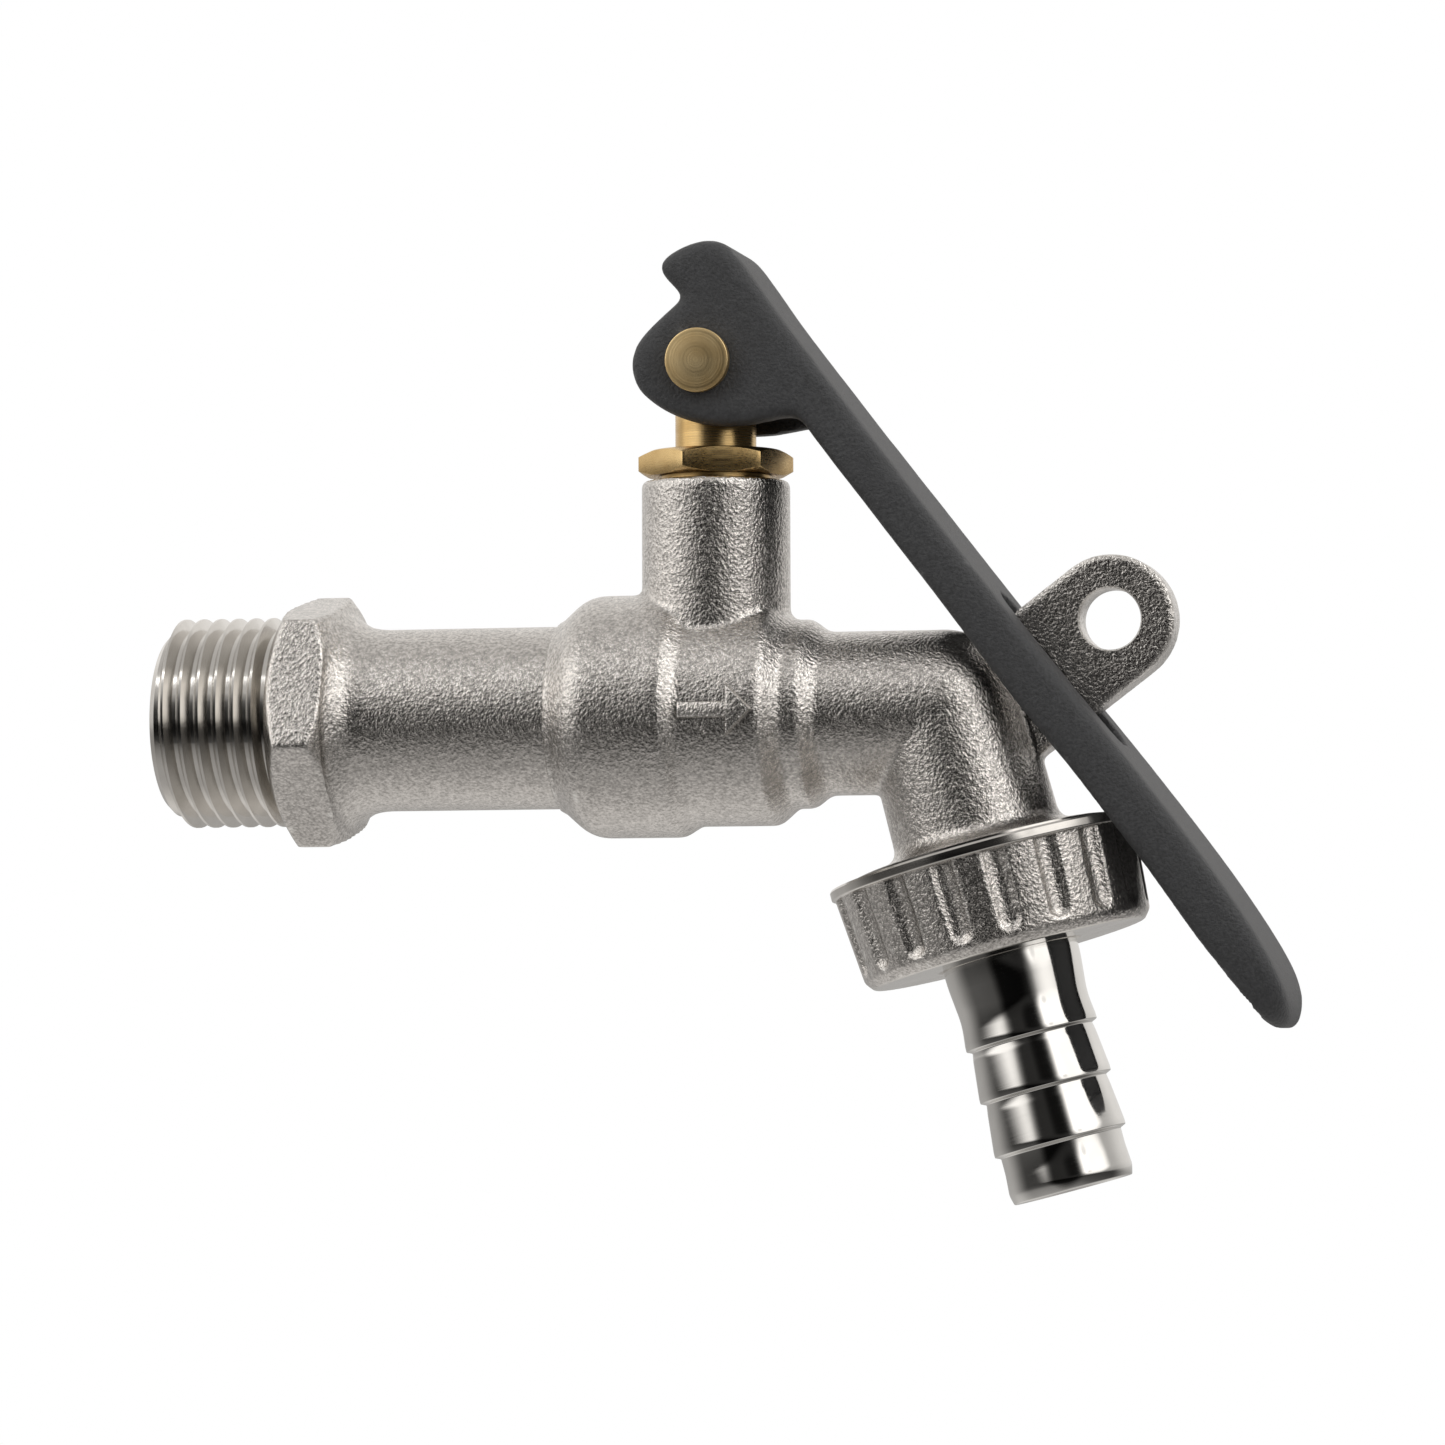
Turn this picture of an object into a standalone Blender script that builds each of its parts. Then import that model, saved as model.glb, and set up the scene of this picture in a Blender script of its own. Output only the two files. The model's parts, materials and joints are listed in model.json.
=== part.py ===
"""Garden tap: a 1/2 inch ball valve with a folding, lockable lever and a hose tail.

The origin is the centre of the inlet's end face. +X runs along the body towards the spout,
+Z is up along the stem, and the outlet leans forward by OUTLET_LEAN from straight down.
"""

import bpy
import bmesh
from math import cos, hypot, pi, radians, sin, sqrt, tan
from mathutils import Matrix, Vector

MM = 0.001
SEGMENTS = 28
THREAD_STEPS = 16
FLANK = tan(radians(27.5))
PITCH = 1.814 * MM

# Inlet tail: G1/2 male thread, hexagon, tube and the collar that the body is rolled over
INLET_CREST = 10.478 * MM
INLET_ROOT = 9.316 * MM
THREAD_END = 12.2 * MM
HEX_END = 17.6 * MM
HEX_FLATS = 23.0 * MM
HEX_TURN = radians(43.5)
TUBE_R = 9.05 * MM
TAIL_COLLAR_R = 9.9 * MM
TAIL_COLLAR_START = 43.9 * MM
TAIL_END = 47.0 * MM
SEAL_GROOVE = (44.8 * MM, 46.1 * MM)
SEAL_FLOOR_R = 8.85 * MM
INLET_BORE_R = 7.0 * MM
WATERWAY_R = 5.1 * MM

# Body along X
BODY_START = 40.2 * MM
STEM_X = 55.7 * MM
BALL_R = 8.6 * MM
BAND_R = (11.9 * MM, 11.0 * MM, 9.4 * MM)
SPOUT_R = 8.05 * MM
ELBOW_X = 78.45 * MM
POCKET_R = 10.2 * MM
CHAMBER_R = 9.2 * MM
SEAT_R = 7.8 * MM
SEAT_BACK = 63.7 * MM

# Outlet, measured from the elbow's centre along its own axis: G3/4 male thread
OUTLET_LEAN = radians(15)
OUTLET_CREST = 13.22 * MM
OUTLET_ROOT = 12.06 * MM
OUTLET_SHOULDER = 14.1 * MM
OUTLET_THREAD = 15.3 * MM
OUTLET_END = 19.0 * MM
OUTLET_BORE_R = 6.0 * MM

# Boss, stem and packing, heights above the body's axis
BOSS_R = 7.33 * MM
BOSS_TOP = 23.1 * MM
STEM_R = 4.0 * MM
STEM_BORE_R = 4.5 * MM
RING_HEIGHTS = (12.6 * MM, 14.8 * MM)
PACKING_R = 5.7 * MM
PACKING_FLOOR = 16.2 * MM
GLAND_FLATS = 13.3 * MM
GLAND_BASE = 23.6 * MM
GLAND_TOP = 26.1 * MM
PIN_Z = 34.3 * MM
PIN_R = 1.9 * MM
PIN_HEAD_R = 3.15 * MM
CLEAR = 0.3 * MM

# Padlock lug
LUG_X = 95.2 * MM
LUG_Z = 8.7 * MM
LUG_R = 6.3 * MM
ARM_RISE = 37
LUG_HOLE_R = 3.0 * MM
LUG_THICK = 4.4 * MM

# Lever, along its own length from the pin
LEVER_FALL = radians(53)
HEAD_HALF = 7.5 * MM
GRIP_HALF = 8.7 * MM
EAR_GAP = 4.4 * MM
CHANNEL_HALF = 7.6 * MM
TIP_ROUND = 6 * MM
TIP_END = 86.5 * MM
WALL = 1.1 * MM
SLOT = (35.4 * MM, 54.6 * MM)
SLOT_HALF = 3.0 * MM

# Coupling nut and hose tail, along the outlet's axis
NUT_TOP = 14.2 * MM
NUT_BOTTOM = 24.6 * MM
NUT_RIM_R = 15.4 * MM
NUT_BORE_R = 13.6 * MM
NUT_CREST_R = 12.4 * MM
FLUTES = 18
TAIL_NECK_R = 6.7 * MM
TAIL_BORE_R = 4.75 * MM
BARB_TIPS = (32.7 * MM, 37.9 * MM, 43.3 * MM)
HOSE_END = 48.2 * MM

ALONG_X = pi / 2
ALONG_OUTLET = pi - OUTLET_LEAN
STEM_FOOT = Vector((STEM_X, 0, 0))
PIN_CENTRE = Vector((STEM_X, 0, PIN_Z))
ELBOW = Vector((ELBOW_X, 0, 0))

COLOURS = {
    "nickel": ((0.62, 0.60, 0.57), 0.35, 1.0),
    "polished": ((0.72, 0.71, 0.69), 0.12, 1.0),
    "brass": ((0.66, 0.47, 0.22), 0.3, 1.0),
    "paint": ((0.075, 0.078, 0.082), 0.6, 0.0),
    "ptfe": ((0.86, 0.86, 0.84), 0.45, 0.0),
    "rubber": ((0.03, 0.03, 0.03), 0.7, 0.0),
}


def clear_scene():
    for obj in list(bpy.data.objects):
        bpy.data.objects.remove(obj, do_unlink=True)


def new_collection(name, hidden=False):
    collection = bpy.data.collections.new(name)
    bpy.context.scene.collection.children.link(collection)
    collection.hide_render = hidden
    return collection


def material(part, finish):
    colour, roughness, metallic = COLOURS[finish]
    made = bpy.data.materials.new(part)
    made.use_nodes = True
    shader = made.node_tree.nodes["Principled BSDF"]
    shader.inputs["Base Color"].default_value = (*colour, 1)
    shader.inputs["Roughness"].default_value = roughness
    shader.inputs["Metallic"].default_value = metallic
    made.diffuse_color = (*colour, 1)
    return made


def add(name, bm, tilt=0.0, place=(0, 0, 0)):
    """A new object from a bmesh, turned about Y by tilt and put at place."""
    mesh = bpy.data.meshes.new(name)
    bm.to_mesh(mesh)
    bm.free()
    obj = bpy.data.objects.new(name, mesh)
    obj.rotation_euler = (0, tilt, 0)
    obj.location = place
    return obj


def make_node(obj, finish):
    parts.objects.link(obj)
    obj.data.materials.append(material(obj.name, finish))
    obj.data.shade_smooth()
    obj.data.set_sharp_from_angle(angle=radians(35))
    return obj


def make_cutter(obj):
    cutters.objects.link(obj)
    obj.hide_render = True
    obj.display_type = "WIRE"
    return obj


def boolean(obj, operation, *tools):
    for tool in tools:
        step = obj.modifiers.new(tool.name, "BOOLEAN")
        step.operation = operation
        step.solver = "EXACT"
        step.object = make_cutter(tool)


def turned(name, outer, bore=(), tilt=0.0, place=(0, 0, 0), steps=SEGMENTS):
    """A turned solid. outer and bore list (radius, height) from low to high."""
    points = list(reversed(outer)) + list(bore)
    if not bore:
        points = [(0, outer[-1][1])] + points + [(0, outer[0][1])]
    bm = bmesh.new()
    ring = [bm.verts.new((radius, 0, height)) for radius, height in points]
    for first, second in zip(ring, ring[1:]):
        bm.edges.new((first, second))
    if bore:
        bm.edges.new((ring[-1], ring[0]))
    obj = add(name, bm, tilt, place)
    screw = obj.modifiers.new("turn", "SCREW")
    screw.steps = screw.render_steps = steps
    screw.use_merge_vertices = True
    screw.merge_threshold = 0.00001
    screw.use_smooth_shade = True
    return obj


def arc(radius, centre, start, end, count):
    """Points of (radius from the axis, height) on a round of a turned profile."""
    turns = [radians(start + (end - start) * i / count) for i in range(count + 1)]
    return [(centre[0] + radius * cos(t), centre[1] + radius * sin(t)) for t in turns]


def prism(name, outline, low, high, lie=Matrix.Identity(4)):
    """An outline of (x, y) points raised from low to high, then laid down by a matrix."""
    bm = bmesh.new()
    face = bm.faces.new([bm.verts.new((x, y, low)) for x, y in outline])
    raised = bmesh.ops.extrude_face_region(bm, geom=[face])["geom"]
    moved = [v for v in raised if isinstance(v, bmesh.types.BMVert)]
    bmesh.ops.translate(bm, verts=moved, vec=(0, 0, high - low))
    bmesh.ops.recalc_face_normals(bm, faces=bm.faces)
    bmesh.ops.transform(bm, matrix=lie, verts=bm.verts)
    if lie.determinant() < 0:
        bmesh.ops.reverse_faces(bm, faces=bm.faces)
    return add(name, bm)


def hexagon(flats, turn=0.0):
    corner = flats / sqrt(3)
    return [(corner * cos(turn + i * pi / 3), corner * sin(turn + i * pi / 3)) for i in range(6)]


def thread_ridge(name, root, crest, start, turns, half_crest, tilt=0.0, place=(0, 0, 0)):
    """One right-hand helical ridge, sinking away at its ends. start is its middle at the first section.

    crest beyond root makes an outside thread, crest inside root an inside one.
    """
    sunk = 0.12 * MM
    foot = root - sunk if crest > root else root + sunk
    half_foot = half_crest + abs(crest - foot) * FLANK
    steps = round(turns * THREAD_STEPS)
    first, last = start - half_foot, start + turns * PITCH + half_foot
    bm = bmesh.new()
    section = [(foot, -half_foot), (crest, -half_crest), (crest, half_crest), (foot, half_foot)]
    face = bm.faces.new([bm.verts.new((r, 0, first + half_foot + z)) for r, z in section])
    bmesh.ops.spin(bm, geom=[face, *face.edges, *face.verts], cent=(0, 0, 0), axis=(0, 0, 1),
                   dvec=(0, 0, PITCH / THREAD_STEPS), angle=steps * 2 * pi / THREAD_STEPS, steps=steps)
    run_out = 0.35 * PITCH
    for vert in bm.verts:
        radius = hypot(vert.co.x, vert.co.y)
        inside = min(vert.co.z - first, last - vert.co.z) / run_out - 0.6
        shown = max(0.0, min(1.0, inside))
        wanted = foot + (radius - foot) * max(shown, 0.3 * sunk / abs(crest - foot))
        vert.co.x *= wanted / radius
        vert.co.y *= wanted / radius
    bmesh.ops.recalc_face_normals(bm, faces=bm.faces)
    return add(name, bm, tilt, place)


def make_inlet_tail():
    """Thread core, chamfered hexagon, tube and captive collar, bored through."""
    groove = [(TAIL_COLLAR_R, SEAL_GROOVE[0]), (SEAL_FLOOR_R, SEAL_GROOVE[0]),
              (SEAL_FLOOR_R, SEAL_GROOVE[1]), (TAIL_COLLAR_R, SEAL_GROOVE[1])]
    collar = [(TAIL_COLLAR_R, TAIL_COLLAR_START), *groove, (TAIL_COLLAR_R, TAIL_END)]
    core = [(INLET_ROOT - 0.6 * MM, 0), (INLET_ROOT, 0.6 * MM), (INLET_ROOT, THREAD_END - 0.4 * MM),
            (INLET_ROOT, HEX_END), (11.4 * MM, HEX_END), (10.2 * MM, HEX_END + 1.5 * MM),
            (9.35 * MM, HEX_END + 2.7 * MM), (TUBE_R, HEX_END + 4.0 * MM), (TUBE_R, TAIL_COLLAR_START)]
    tail = turned("inlet_tail", core + collar, tilt=ALONG_X)
    hexagonal = turned("hexagon_round", [(HEX_FLATS / 2 - 1.1 * MM, THREAD_END), (HEX_FLATS / 2 + 1.8 * MM,
                       THREAD_END + 1.7 * MM), (HEX_FLATS / 2 + 1.8 * MM, HEX_END - 0.4 * MM),
                       (HEX_FLATS / 2 - 0.1 * MM, HEX_END + 0.5 * MM)], tilt=ALONG_X)
    lie = Matrix.Rotation(ALONG_X, 4, "Y")
    bar = prism("hexagon_bar", hexagon(HEX_FLATS, HEX_TURN), THREAD_END - 1 * MM, HEX_END + 1 * MM, lie)
    boolean(hexagonal, "INTERSECT", bar)
    ridge = thread_ridge("inlet_thread", INLET_ROOT, INLET_CREST, 1.2 * MM, 5.4, 0.15 * MM, ALONG_X)
    boolean(tail, "UNION", hexagonal, ridge)
    bore = turned("tail_bore", [(INLET_BORE_R + 0.5 * MM, -1 * MM), (INLET_BORE_R + 0.5 * MM, 0),
                  (INLET_BORE_R, 0.5 * MM), (INLET_BORE_R, TAIL_COLLAR_START - 5 * MM),
                  (WATERWAY_R, TAIL_COLLAR_START - 3 * MM), (WATERWAY_R, TAIL_END + 1 * MM)], tilt=ALONG_X)
    boolean(tail, "DIFFERENCE", bore)
    return make_node(tail, "nickel")


def body_outline():
    shoulder = [(9.5 * MM, BODY_START)] + arc(2.4 * MM, (9.5 * MM, BODY_START + 2.4 * MM), -70, 0, 5)
    first, second, third = BAND_R
    steps = [(first, 44.3 * MM), (first, 52.3 * MM), (second, 54.0 * MM), (second, 62.1 * MM),
             (third, 63.9 * MM), (third, 65.6 * MM), (SPOUT_R, 67.1 * MM), (SPOUT_R, ELBOW_X)]
    return shoulder + steps


def outlet_outline():
    shoulder = [(SPOUT_R, 0), (SPOUT_R, 9.2 * MM), (8.6 * MM, 11.0 * MM), (9.7 * MM, 12.0 * MM),
                (12.9 * MM, 13.3 * MM), (12.9 * MM, OUTLET_SHOULDER)]
    return shoulder + [(OUTLET_ROOT, OUTLET_SHOULDER + 0.3 * MM), (OUTLET_ROOT, OUTLET_END - 0.4 * MM),
                       (OUTLET_ROOT - 0.4 * MM, OUTLET_END)]


def lug_outline():
    """A plate with two round ends, from inside the elbow out to the lug."""
    length = (LUG_X - ELBOW_X) / cos(radians(ARM_RISE))
    root = (ELBOW_X, LUG_Z - length * sin(radians(ARM_RISE)))
    near = arc(LUG_R, root, ARM_RISE + 90, ARM_RISE + 270, 8)
    far = arc(LUG_R, (LUG_X, LUG_Z), ARM_RISE - 90, ARM_RISE + 90, 16)
    return near + far


def make_body():
    """One forging: ball housing, spout elbow, threaded outlet, stem boss and padlock lug."""
    body = turned("valve_body", body_outline(), tilt=ALONG_X)
    elbow = bmesh.new()
    bmesh.ops.create_uvsphere(elbow, u_segments=SEGMENTS, v_segments=14, radius=SPOUT_R * 1.002)
    spout = turned("outlet", outlet_outline(), tilt=ALONG_OUTLET, place=ELBOW)
    boss = turned("boss", [(BOSS_R, 2 * MM), (BOSS_R, BOSS_TOP - 0.5 * MM), (BOSS_R - 0.5 * MM, BOSS_TOP)],
                  place=STEM_FOOT)
    upright = Matrix.Rotation(pi / 2, 4, "X")
    lug = prism("lug_plate", lug_outline(), -LUG_THICK / 2, LUG_THICK / 2, upright)
    ridge = thread_ridge("outlet_thread", OUTLET_ROOT, OUTLET_CREST, OUTLET_THREAD, 1.5,
                         0.15 * MM, ALONG_OUTLET, ELBOW)
    boolean(body, "UNION", add("elbow_ball", elbow, place=ELBOW), spout, boss, lug, ridge)
    boolean(body, "DIFFERENCE", *body_cutters())
    return make_node(body, "nickel")


def body_cutters():
    along = turned("waterway", [(9.4 * MM, BODY_START - 1 * MM), (9.4 * MM, TAIL_COLLAR_START - CLEAR),
                   (POCKET_R, TAIL_COLLAR_START - CLEAR), (POCKET_R, TAIL_END + CLEAR),
                   (CHAMBER_R, TAIL_END + CLEAR), (CHAMBER_R, 59.0 * MM), (SEAT_R + CLEAR, 60.6 * MM),
                   (SEAT_R + CLEAR, SEAT_BACK + CLEAR), (WATERWAY_R, SEAT_BACK + CLEAR), (WATERWAY_R, ELBOW_X)], tilt=ALONG_X)
    bend = bmesh.new()
    bmesh.ops.create_uvsphere(bend, u_segments=SEGMENTS, v_segments=14, radius=WATERWAY_R * 1.002)
    down = turned("outlet_bore", [(WATERWAY_R, 0), (WATERWAY_R, 8 * MM), (OUTLET_BORE_R, 9 * MM),
                  (OUTLET_BORE_R, OUTLET_END + 1 * MM)], tilt=ALONG_OUTLET, place=ELBOW)
    up = turned("stem_bore", [(5.2 * MM, 4 * MM), (5.2 * MM, 11.4 * MM), (STEM_BORE_R, 11.4 * MM),
                (STEM_BORE_R, PACKING_FLOOR), (PACKING_R, PACKING_FLOOR), (PACKING_R, BOSS_TOP + 1 * MM)],
                place=STEM_FOOT)
    hole = turned("lug_hole", [(LUG_HOLE_R, -LUG_THICK), (LUG_HOLE_R, LUG_THICK)], place=(LUG_X, 0, LUG_Z),
                  steps=24)
    hole.rotation_euler = (pi / 2, 0, 0)
    return along, add("bend_bore", bend, place=ELBOW), down, up, hole


def make_tail_seal():
    low, high = SEAL_GROOVE[0] + 0.25 * MM, SEAL_GROOVE[1] - 0.25 * MM
    outer, inner = TAIL_COLLAR_R, SEAL_FLOOR_R + CLEAR
    return make_node(turned("tail_seal_ring", [(outer, low), (outer, high)], [(inner, low), (inner, high)],
                            tilt=ALONG_X), "rubber")


def make_seat(name, rim, back, tilt):
    """A sealing ring cupped to the ball; heights are measured from the ball's centre."""
    ball = BALL_R + CLEAR
    cup = [(radius * MM, sqrt(ball ** 2 - (radius * MM) ** 2)) for radius in (6.6, 6.2, 5.8, 5.4)]
    outer = [(rim, cup[0][1] - 0.2 * MM), (rim, back)]
    seat = turned(name, outer, cup + [(5.4 * MM, back)], tilt=tilt, place=STEM_FOOT, steps=24)
    return make_node(seat, "ptfe")


def make_ball():
    """Closed position: the ball's own bore lies across the body, and the drive slot is on top."""
    bm = bmesh.new()
    bmesh.ops.create_uvsphere(bm, u_segments=SEGMENTS, v_segments=16, radius=BALL_R)
    ball = add("ball", bm, place=STEM_FOOT)
    bore = turned("ball_bore", [(WATERWAY_R, -10 * MM), (WATERWAY_R, 10 * MM)], place=STEM_FOOT)
    bore.rotation_euler = (pi / 2, 0, 0)
    slot = bmesh.new()
    bmesh.ops.create_cube(slot, size=1)
    bmesh.ops.scale(slot, verts=slot.verts, vec=(22 * MM, 2.8 * MM, 4 * MM))
    boolean(ball, "DIFFERENCE", bore, add("drive_slot", slot, place=(STEM_X, 0, 8.6 * MM)))
    return make_node(ball, "polished")


def make_stem():
    """Tang, thrust collar, two O-ring grooves and the eye that the lever's pin goes through."""
    grooves = []
    for middle in RING_HEIGHTS:
        low, high = middle - 0.75 * MM, middle + 0.75 * MM
        grooves += [(STEM_R, low), (3.0 * MM, low), (3.0 * MM, high), (STEM_R, high)]
    outline = [(4.6 * MM, 9.1 * MM), (4.6 * MM, 10.2 * MM), (STEM_R, 10.2 * MM)] + grooves
    outline += [(STEM_R, 36.9 * MM), (STEM_R - 0.8 * MM, 37.7 * MM)]
    stem = turned("stem", outline, place=STEM_FOOT)
    tang = bmesh.new()
    bmesh.ops.create_cube(tang, size=1)
    bmesh.ops.scale(tang, verts=tang.verts, vec=(8.4 * MM, 2.1 * MM, 2.4 * MM))
    boolean(stem, "UNION", add("tang", tang, place=(STEM_X, 0, 8.2 * MM)))
    eye = turned("stem_eye", [(PIN_R + CLEAR, -6 * MM), (PIN_R + CLEAR, 6 * MM)], place=PIN_CENTRE, steps=24)
    eye.rotation_euler = (pi / 2, 0, 0)
    boolean(stem, "DIFFERENCE", eye)
    return make_node(stem, "brass")


def make_ring(name, inner, outer, low, high, finish):
    ring = turned(name, [(outer, low), (outer, high)], [(inner, low), (inner, high)],
                  place=STEM_FOOT, steps=20)
    return make_node(ring, finish)


def make_stem_seals():
    for name, middle in zip(("stem_oring_lower", "stem_oring_upper"), RING_HEIGHTS):
        section = arc(0.42 * MM, (3.75 * MM, middle), 90, -210, 5)
        bm = bmesh.new()
        ring = [bm.verts.new((radius, 0, height)) for radius, height in section]
        for first, second in zip(ring, ring[1:] + ring[:1]):
            bm.edges.new((first, second))
        seal = add(name, bm, place=STEM_FOOT)
        screw = seal.modifiers.new("turn", "SCREW")
        screw.steps = screw.render_steps = 16
        screw.use_merge_vertices = True
        screw.merge_threshold = 0.00001
        make_node(seal, "rubber")
    make_ring("thrust_washer", STEM_R + CLEAR, 4.9 * MM, 10.5 * MM, 11.1 * MM, "ptfe")
    make_ring("packing_ring_lower", STEM_R + CLEAR, PACKING_R - CLEAR, 16.5 * MM, 18.1 * MM, "ptfe")
    make_ring("packing_ring_upper", STEM_R + CLEAR, PACKING_R - CLEAR, 18.4 * MM, 20.0 * MM, "ptfe")
    make_ring("gland_washer", STEM_R + CLEAR, PACKING_R - CLEAR, 20.3 * MM, 21.1 * MM, "brass")


def make_gland_nut():
    """A thin hexagon over a plain neck that presses the packing down."""
    half = GLAND_FLATS / 2
    nut = turned("gland_nut", [(PACKING_R - CLEAR, 21.4 * MM), (PACKING_R - CLEAR, GLAND_BASE),
                 (half + 0.1 * MM, GLAND_BASE), (half + 1.1 * MM, GLAND_BASE + 0.6 * MM),
                 (half + 1.1 * MM, GLAND_TOP - 0.6 * MM), (half - 0.2 * MM, GLAND_TOP)],
                 [(STEM_R + CLEAR, 21.4 * MM), (STEM_R + CLEAR, GLAND_TOP)], place=STEM_FOOT)
    bar = prism("gland_bar", hexagon(GLAND_FLATS, radians(30)), 20 * MM, 28 * MM,
                Matrix.Translation(STEM_FOOT))
    boolean(nut, "INTERSECT", bar)
    return make_node(nut, "brass")


def make_pin():
    """A headed pin, with its far end swelled over."""
    pin = turned("pivot_pin", [(2.6 * MM, -8.5 * MM), (2.9 * MM, -8.2 * MM), (2.9 * MM, -HEAD_HALF - CLEAR),
                 (PIN_R, -HEAD_HALF - CLEAR), (PIN_R, HEAD_HALF + CLEAR), (PIN_HEAD_R, HEAD_HALF + CLEAR),
                 (PIN_HEAD_R, 8.7 * MM), (PIN_HEAD_R - 0.3 * MM, 8.9 * MM)], place=PIN_CENTRE, steps=20)
    pin.rotation_euler = (pi / 2, 0, 0)
    return make_node(pin, "brass")


def lever_point(along, out):
    """From the lever's own length and height to (x, z) measured from the pin."""
    return (along * cos(LEVER_FALL) + out * sin(LEVER_FALL), -along * sin(LEVER_FALL) + out * cos(LEVER_FALL))


def lever_side():
    """The side wall's outline round the ear, hook, back and grip, as (along, out) points."""
    ear = [(9.6, 4.0), (8.6, 2.2), (7.3, -0.8), (5.3, -3.1), (2.6, -4.9), (-0.4, -5.9), (-3.2, -5.4),
           (-5.4, -3.6), (-6.2, -1.0), (-6.1, 1.6)]
    hook = [(-5.5, 3.0), (-9.1, 3.2), (-9.9, 4.4), (-9.6, 5.7), (-8.5, 7.4), (-6.9, 8.1), (-4, 8.2)]
    back = [(1, 8.9), (7, 9.1), (13, 9.1), (19, 9.1), (32, 9.15), (44, 9.3), (56, 9.35), (68, 9.2),
            (76, 8.9), (81, 8.4), (84.2, 7.6), (86.1, 6.5), (86.5, 5.5), (85.8, 4.7), (84, 4.4)]
    edge = [(72, 4.4), (66, 5.05), (54, 5.05), (46, 4.5), (32, 4.4), (20, 4.4), (12.6, 4.2)]
    return [(along * MM, out * MM) for along, out in ear + hook + back + edge]


def lever_half(along):
    """Half the lever's width, growing from the head to the grip and rounded off at the tip."""
    share = max(0.0, min(1.0, (along - 6 * MM) / (22 * MM)))
    past = min(TIP_ROUND, max(0.0, along - TIP_END + TIP_ROUND))
    return HEAD_HALF + (GRIP_HALF - HEAD_HALF) * share - TIP_ROUND + sqrt(TIP_ROUND**2 - past**2)


def channel_side():
    """The hollow's outline: between the ears, then under the web down to the grip's end."""
    low = [(-14, -9), (6.0, -9), (14, 2.0), (83.8, 2.0)]
    top = [(83.8, 6.0), (81.6, 6.6), (76, 6.9), (56, 7.3), (32, 7.1), (13, 6.7), (4, 6.5), (-3.6, 6.3),
           (-6.4, 5.4), (-14, 5.2)]
    return [(along * MM, out * MM) for along, out in low + top]


def channel_half(along):
    share = max(0.0, min(1.0, (along - 8 * MM) / (18 * MM)))
    return min(EAR_GAP + (CHANNEL_HALF - EAR_GAP) * share, lever_half(along) - WALL)


def side_solid(name, outline, half):
    """A side outline spread to both sides by half(along), placed at the pin."""
    bm = bmesh.new()
    left = [bm.verts.new((x + STEM_X, -half(a), z + PIN_Z)) for a, (x, z) in
            ((along, lever_point(along, out)) for along, out in outline)]
    right = [bm.verts.new((v.co.x, -v.co.y, v.co.z)) for v in left]
    bm.faces.new(left)
    bm.faces.new(right[::-1])
    for i in range(len(left)):
        bm.faces.new((left[i - 1], right[i - 1], right[i], left[i]))
    bmesh.ops.recalc_face_normals(bm, faces=bm.faces)
    bmesh.ops.triangulate(bm, faces=bm.faces)
    return add(name, bm)


def make_lever():
    """A pressed channel with two ears round the pin, a hooked head and a slot for the lug."""
    lever = side_solid("lever", lever_side(), lever_half)
    hollow = side_solid("channel", channel_side(), channel_half)
    middle = sum(SLOT) / 2
    x, z = lever_point(middle, 8 * MM)
    slot = bmesh.new()
    straight = (SLOT[1] - SLOT[0]) / 2 - SLOT_HALF
    ends = arc(SLOT_HALF, (straight, 0), -90, 90, 8) + arc(SLOT_HALF, (-straight, 0), 90, 270, 8)
    face = slot.faces.new([slot.verts.new((u, v, -5 * MM)) for u, v in ends])
    raised = bmesh.ops.extrude_face_region(slot, geom=[face])["geom"]
    top = [v for v in raised if isinstance(v, bmesh.types.BMVert)]
    bmesh.ops.translate(slot, verts=top, vec=(0, 0, 10 * MM))
    bmesh.ops.recalc_face_normals(slot, faces=slot.faces)
    opening = add("lug_slot", slot, tilt=LEVER_FALL, place=(STEM_X + x, 0, PIN_Z + z))
    outline = [(PIN_R + CLEAR, -12 * MM), (PIN_R + CLEAR, 12 * MM)]
    hole = turned("ear_holes", outline, place=PIN_CENTRE, steps=24)
    hole.rotation_euler = (pi / 2, 0, 0)
    boolean(lever, "DIFFERENCE", hollow, opening, hole)
    return make_node(lever, "paint")


def make_coupling_nut():
    """A grip ring with flutes, an inside thread and a floor that holds the hose tail's flange."""
    outer = [(NUT_RIM_R - 0.2 * MM, NUT_TOP), (NUT_RIM_R, NUT_TOP + 0.2 * MM), (NUT_RIM_R, NUT_TOP + 1.0 * MM),
             (15.0 * MM, NUT_TOP + 1.2 * MM), (14.35 * MM, NUT_BOTTOM - 0.9 * MM), (13.6 * MM, NUT_BOTTOM)]
    inner = [(NUT_BORE_R, NUT_TOP), (NUT_BORE_R, 22.8 * MM), (7.1 * MM, 22.8 * MM), (7.1 * MM, NUT_BOTTOM)]
    nut = turned("coupling_nut", outer, inner, tilt=ALONG_OUTLET, place=ELBOW, steps=54)
    ridge = thread_ridge("nut_thread", NUT_BORE_R, NUT_CREST_R, OUTLET_THREAD + PITCH / 2, 1.5,
                         0.08 * MM, ALONG_OUTLET, ELBOW)
    boolean(nut, "UNION", ridge)
    boolean(nut, "DIFFERENCE", flute_cutter())
    return make_node(nut, "nickel")


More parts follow.
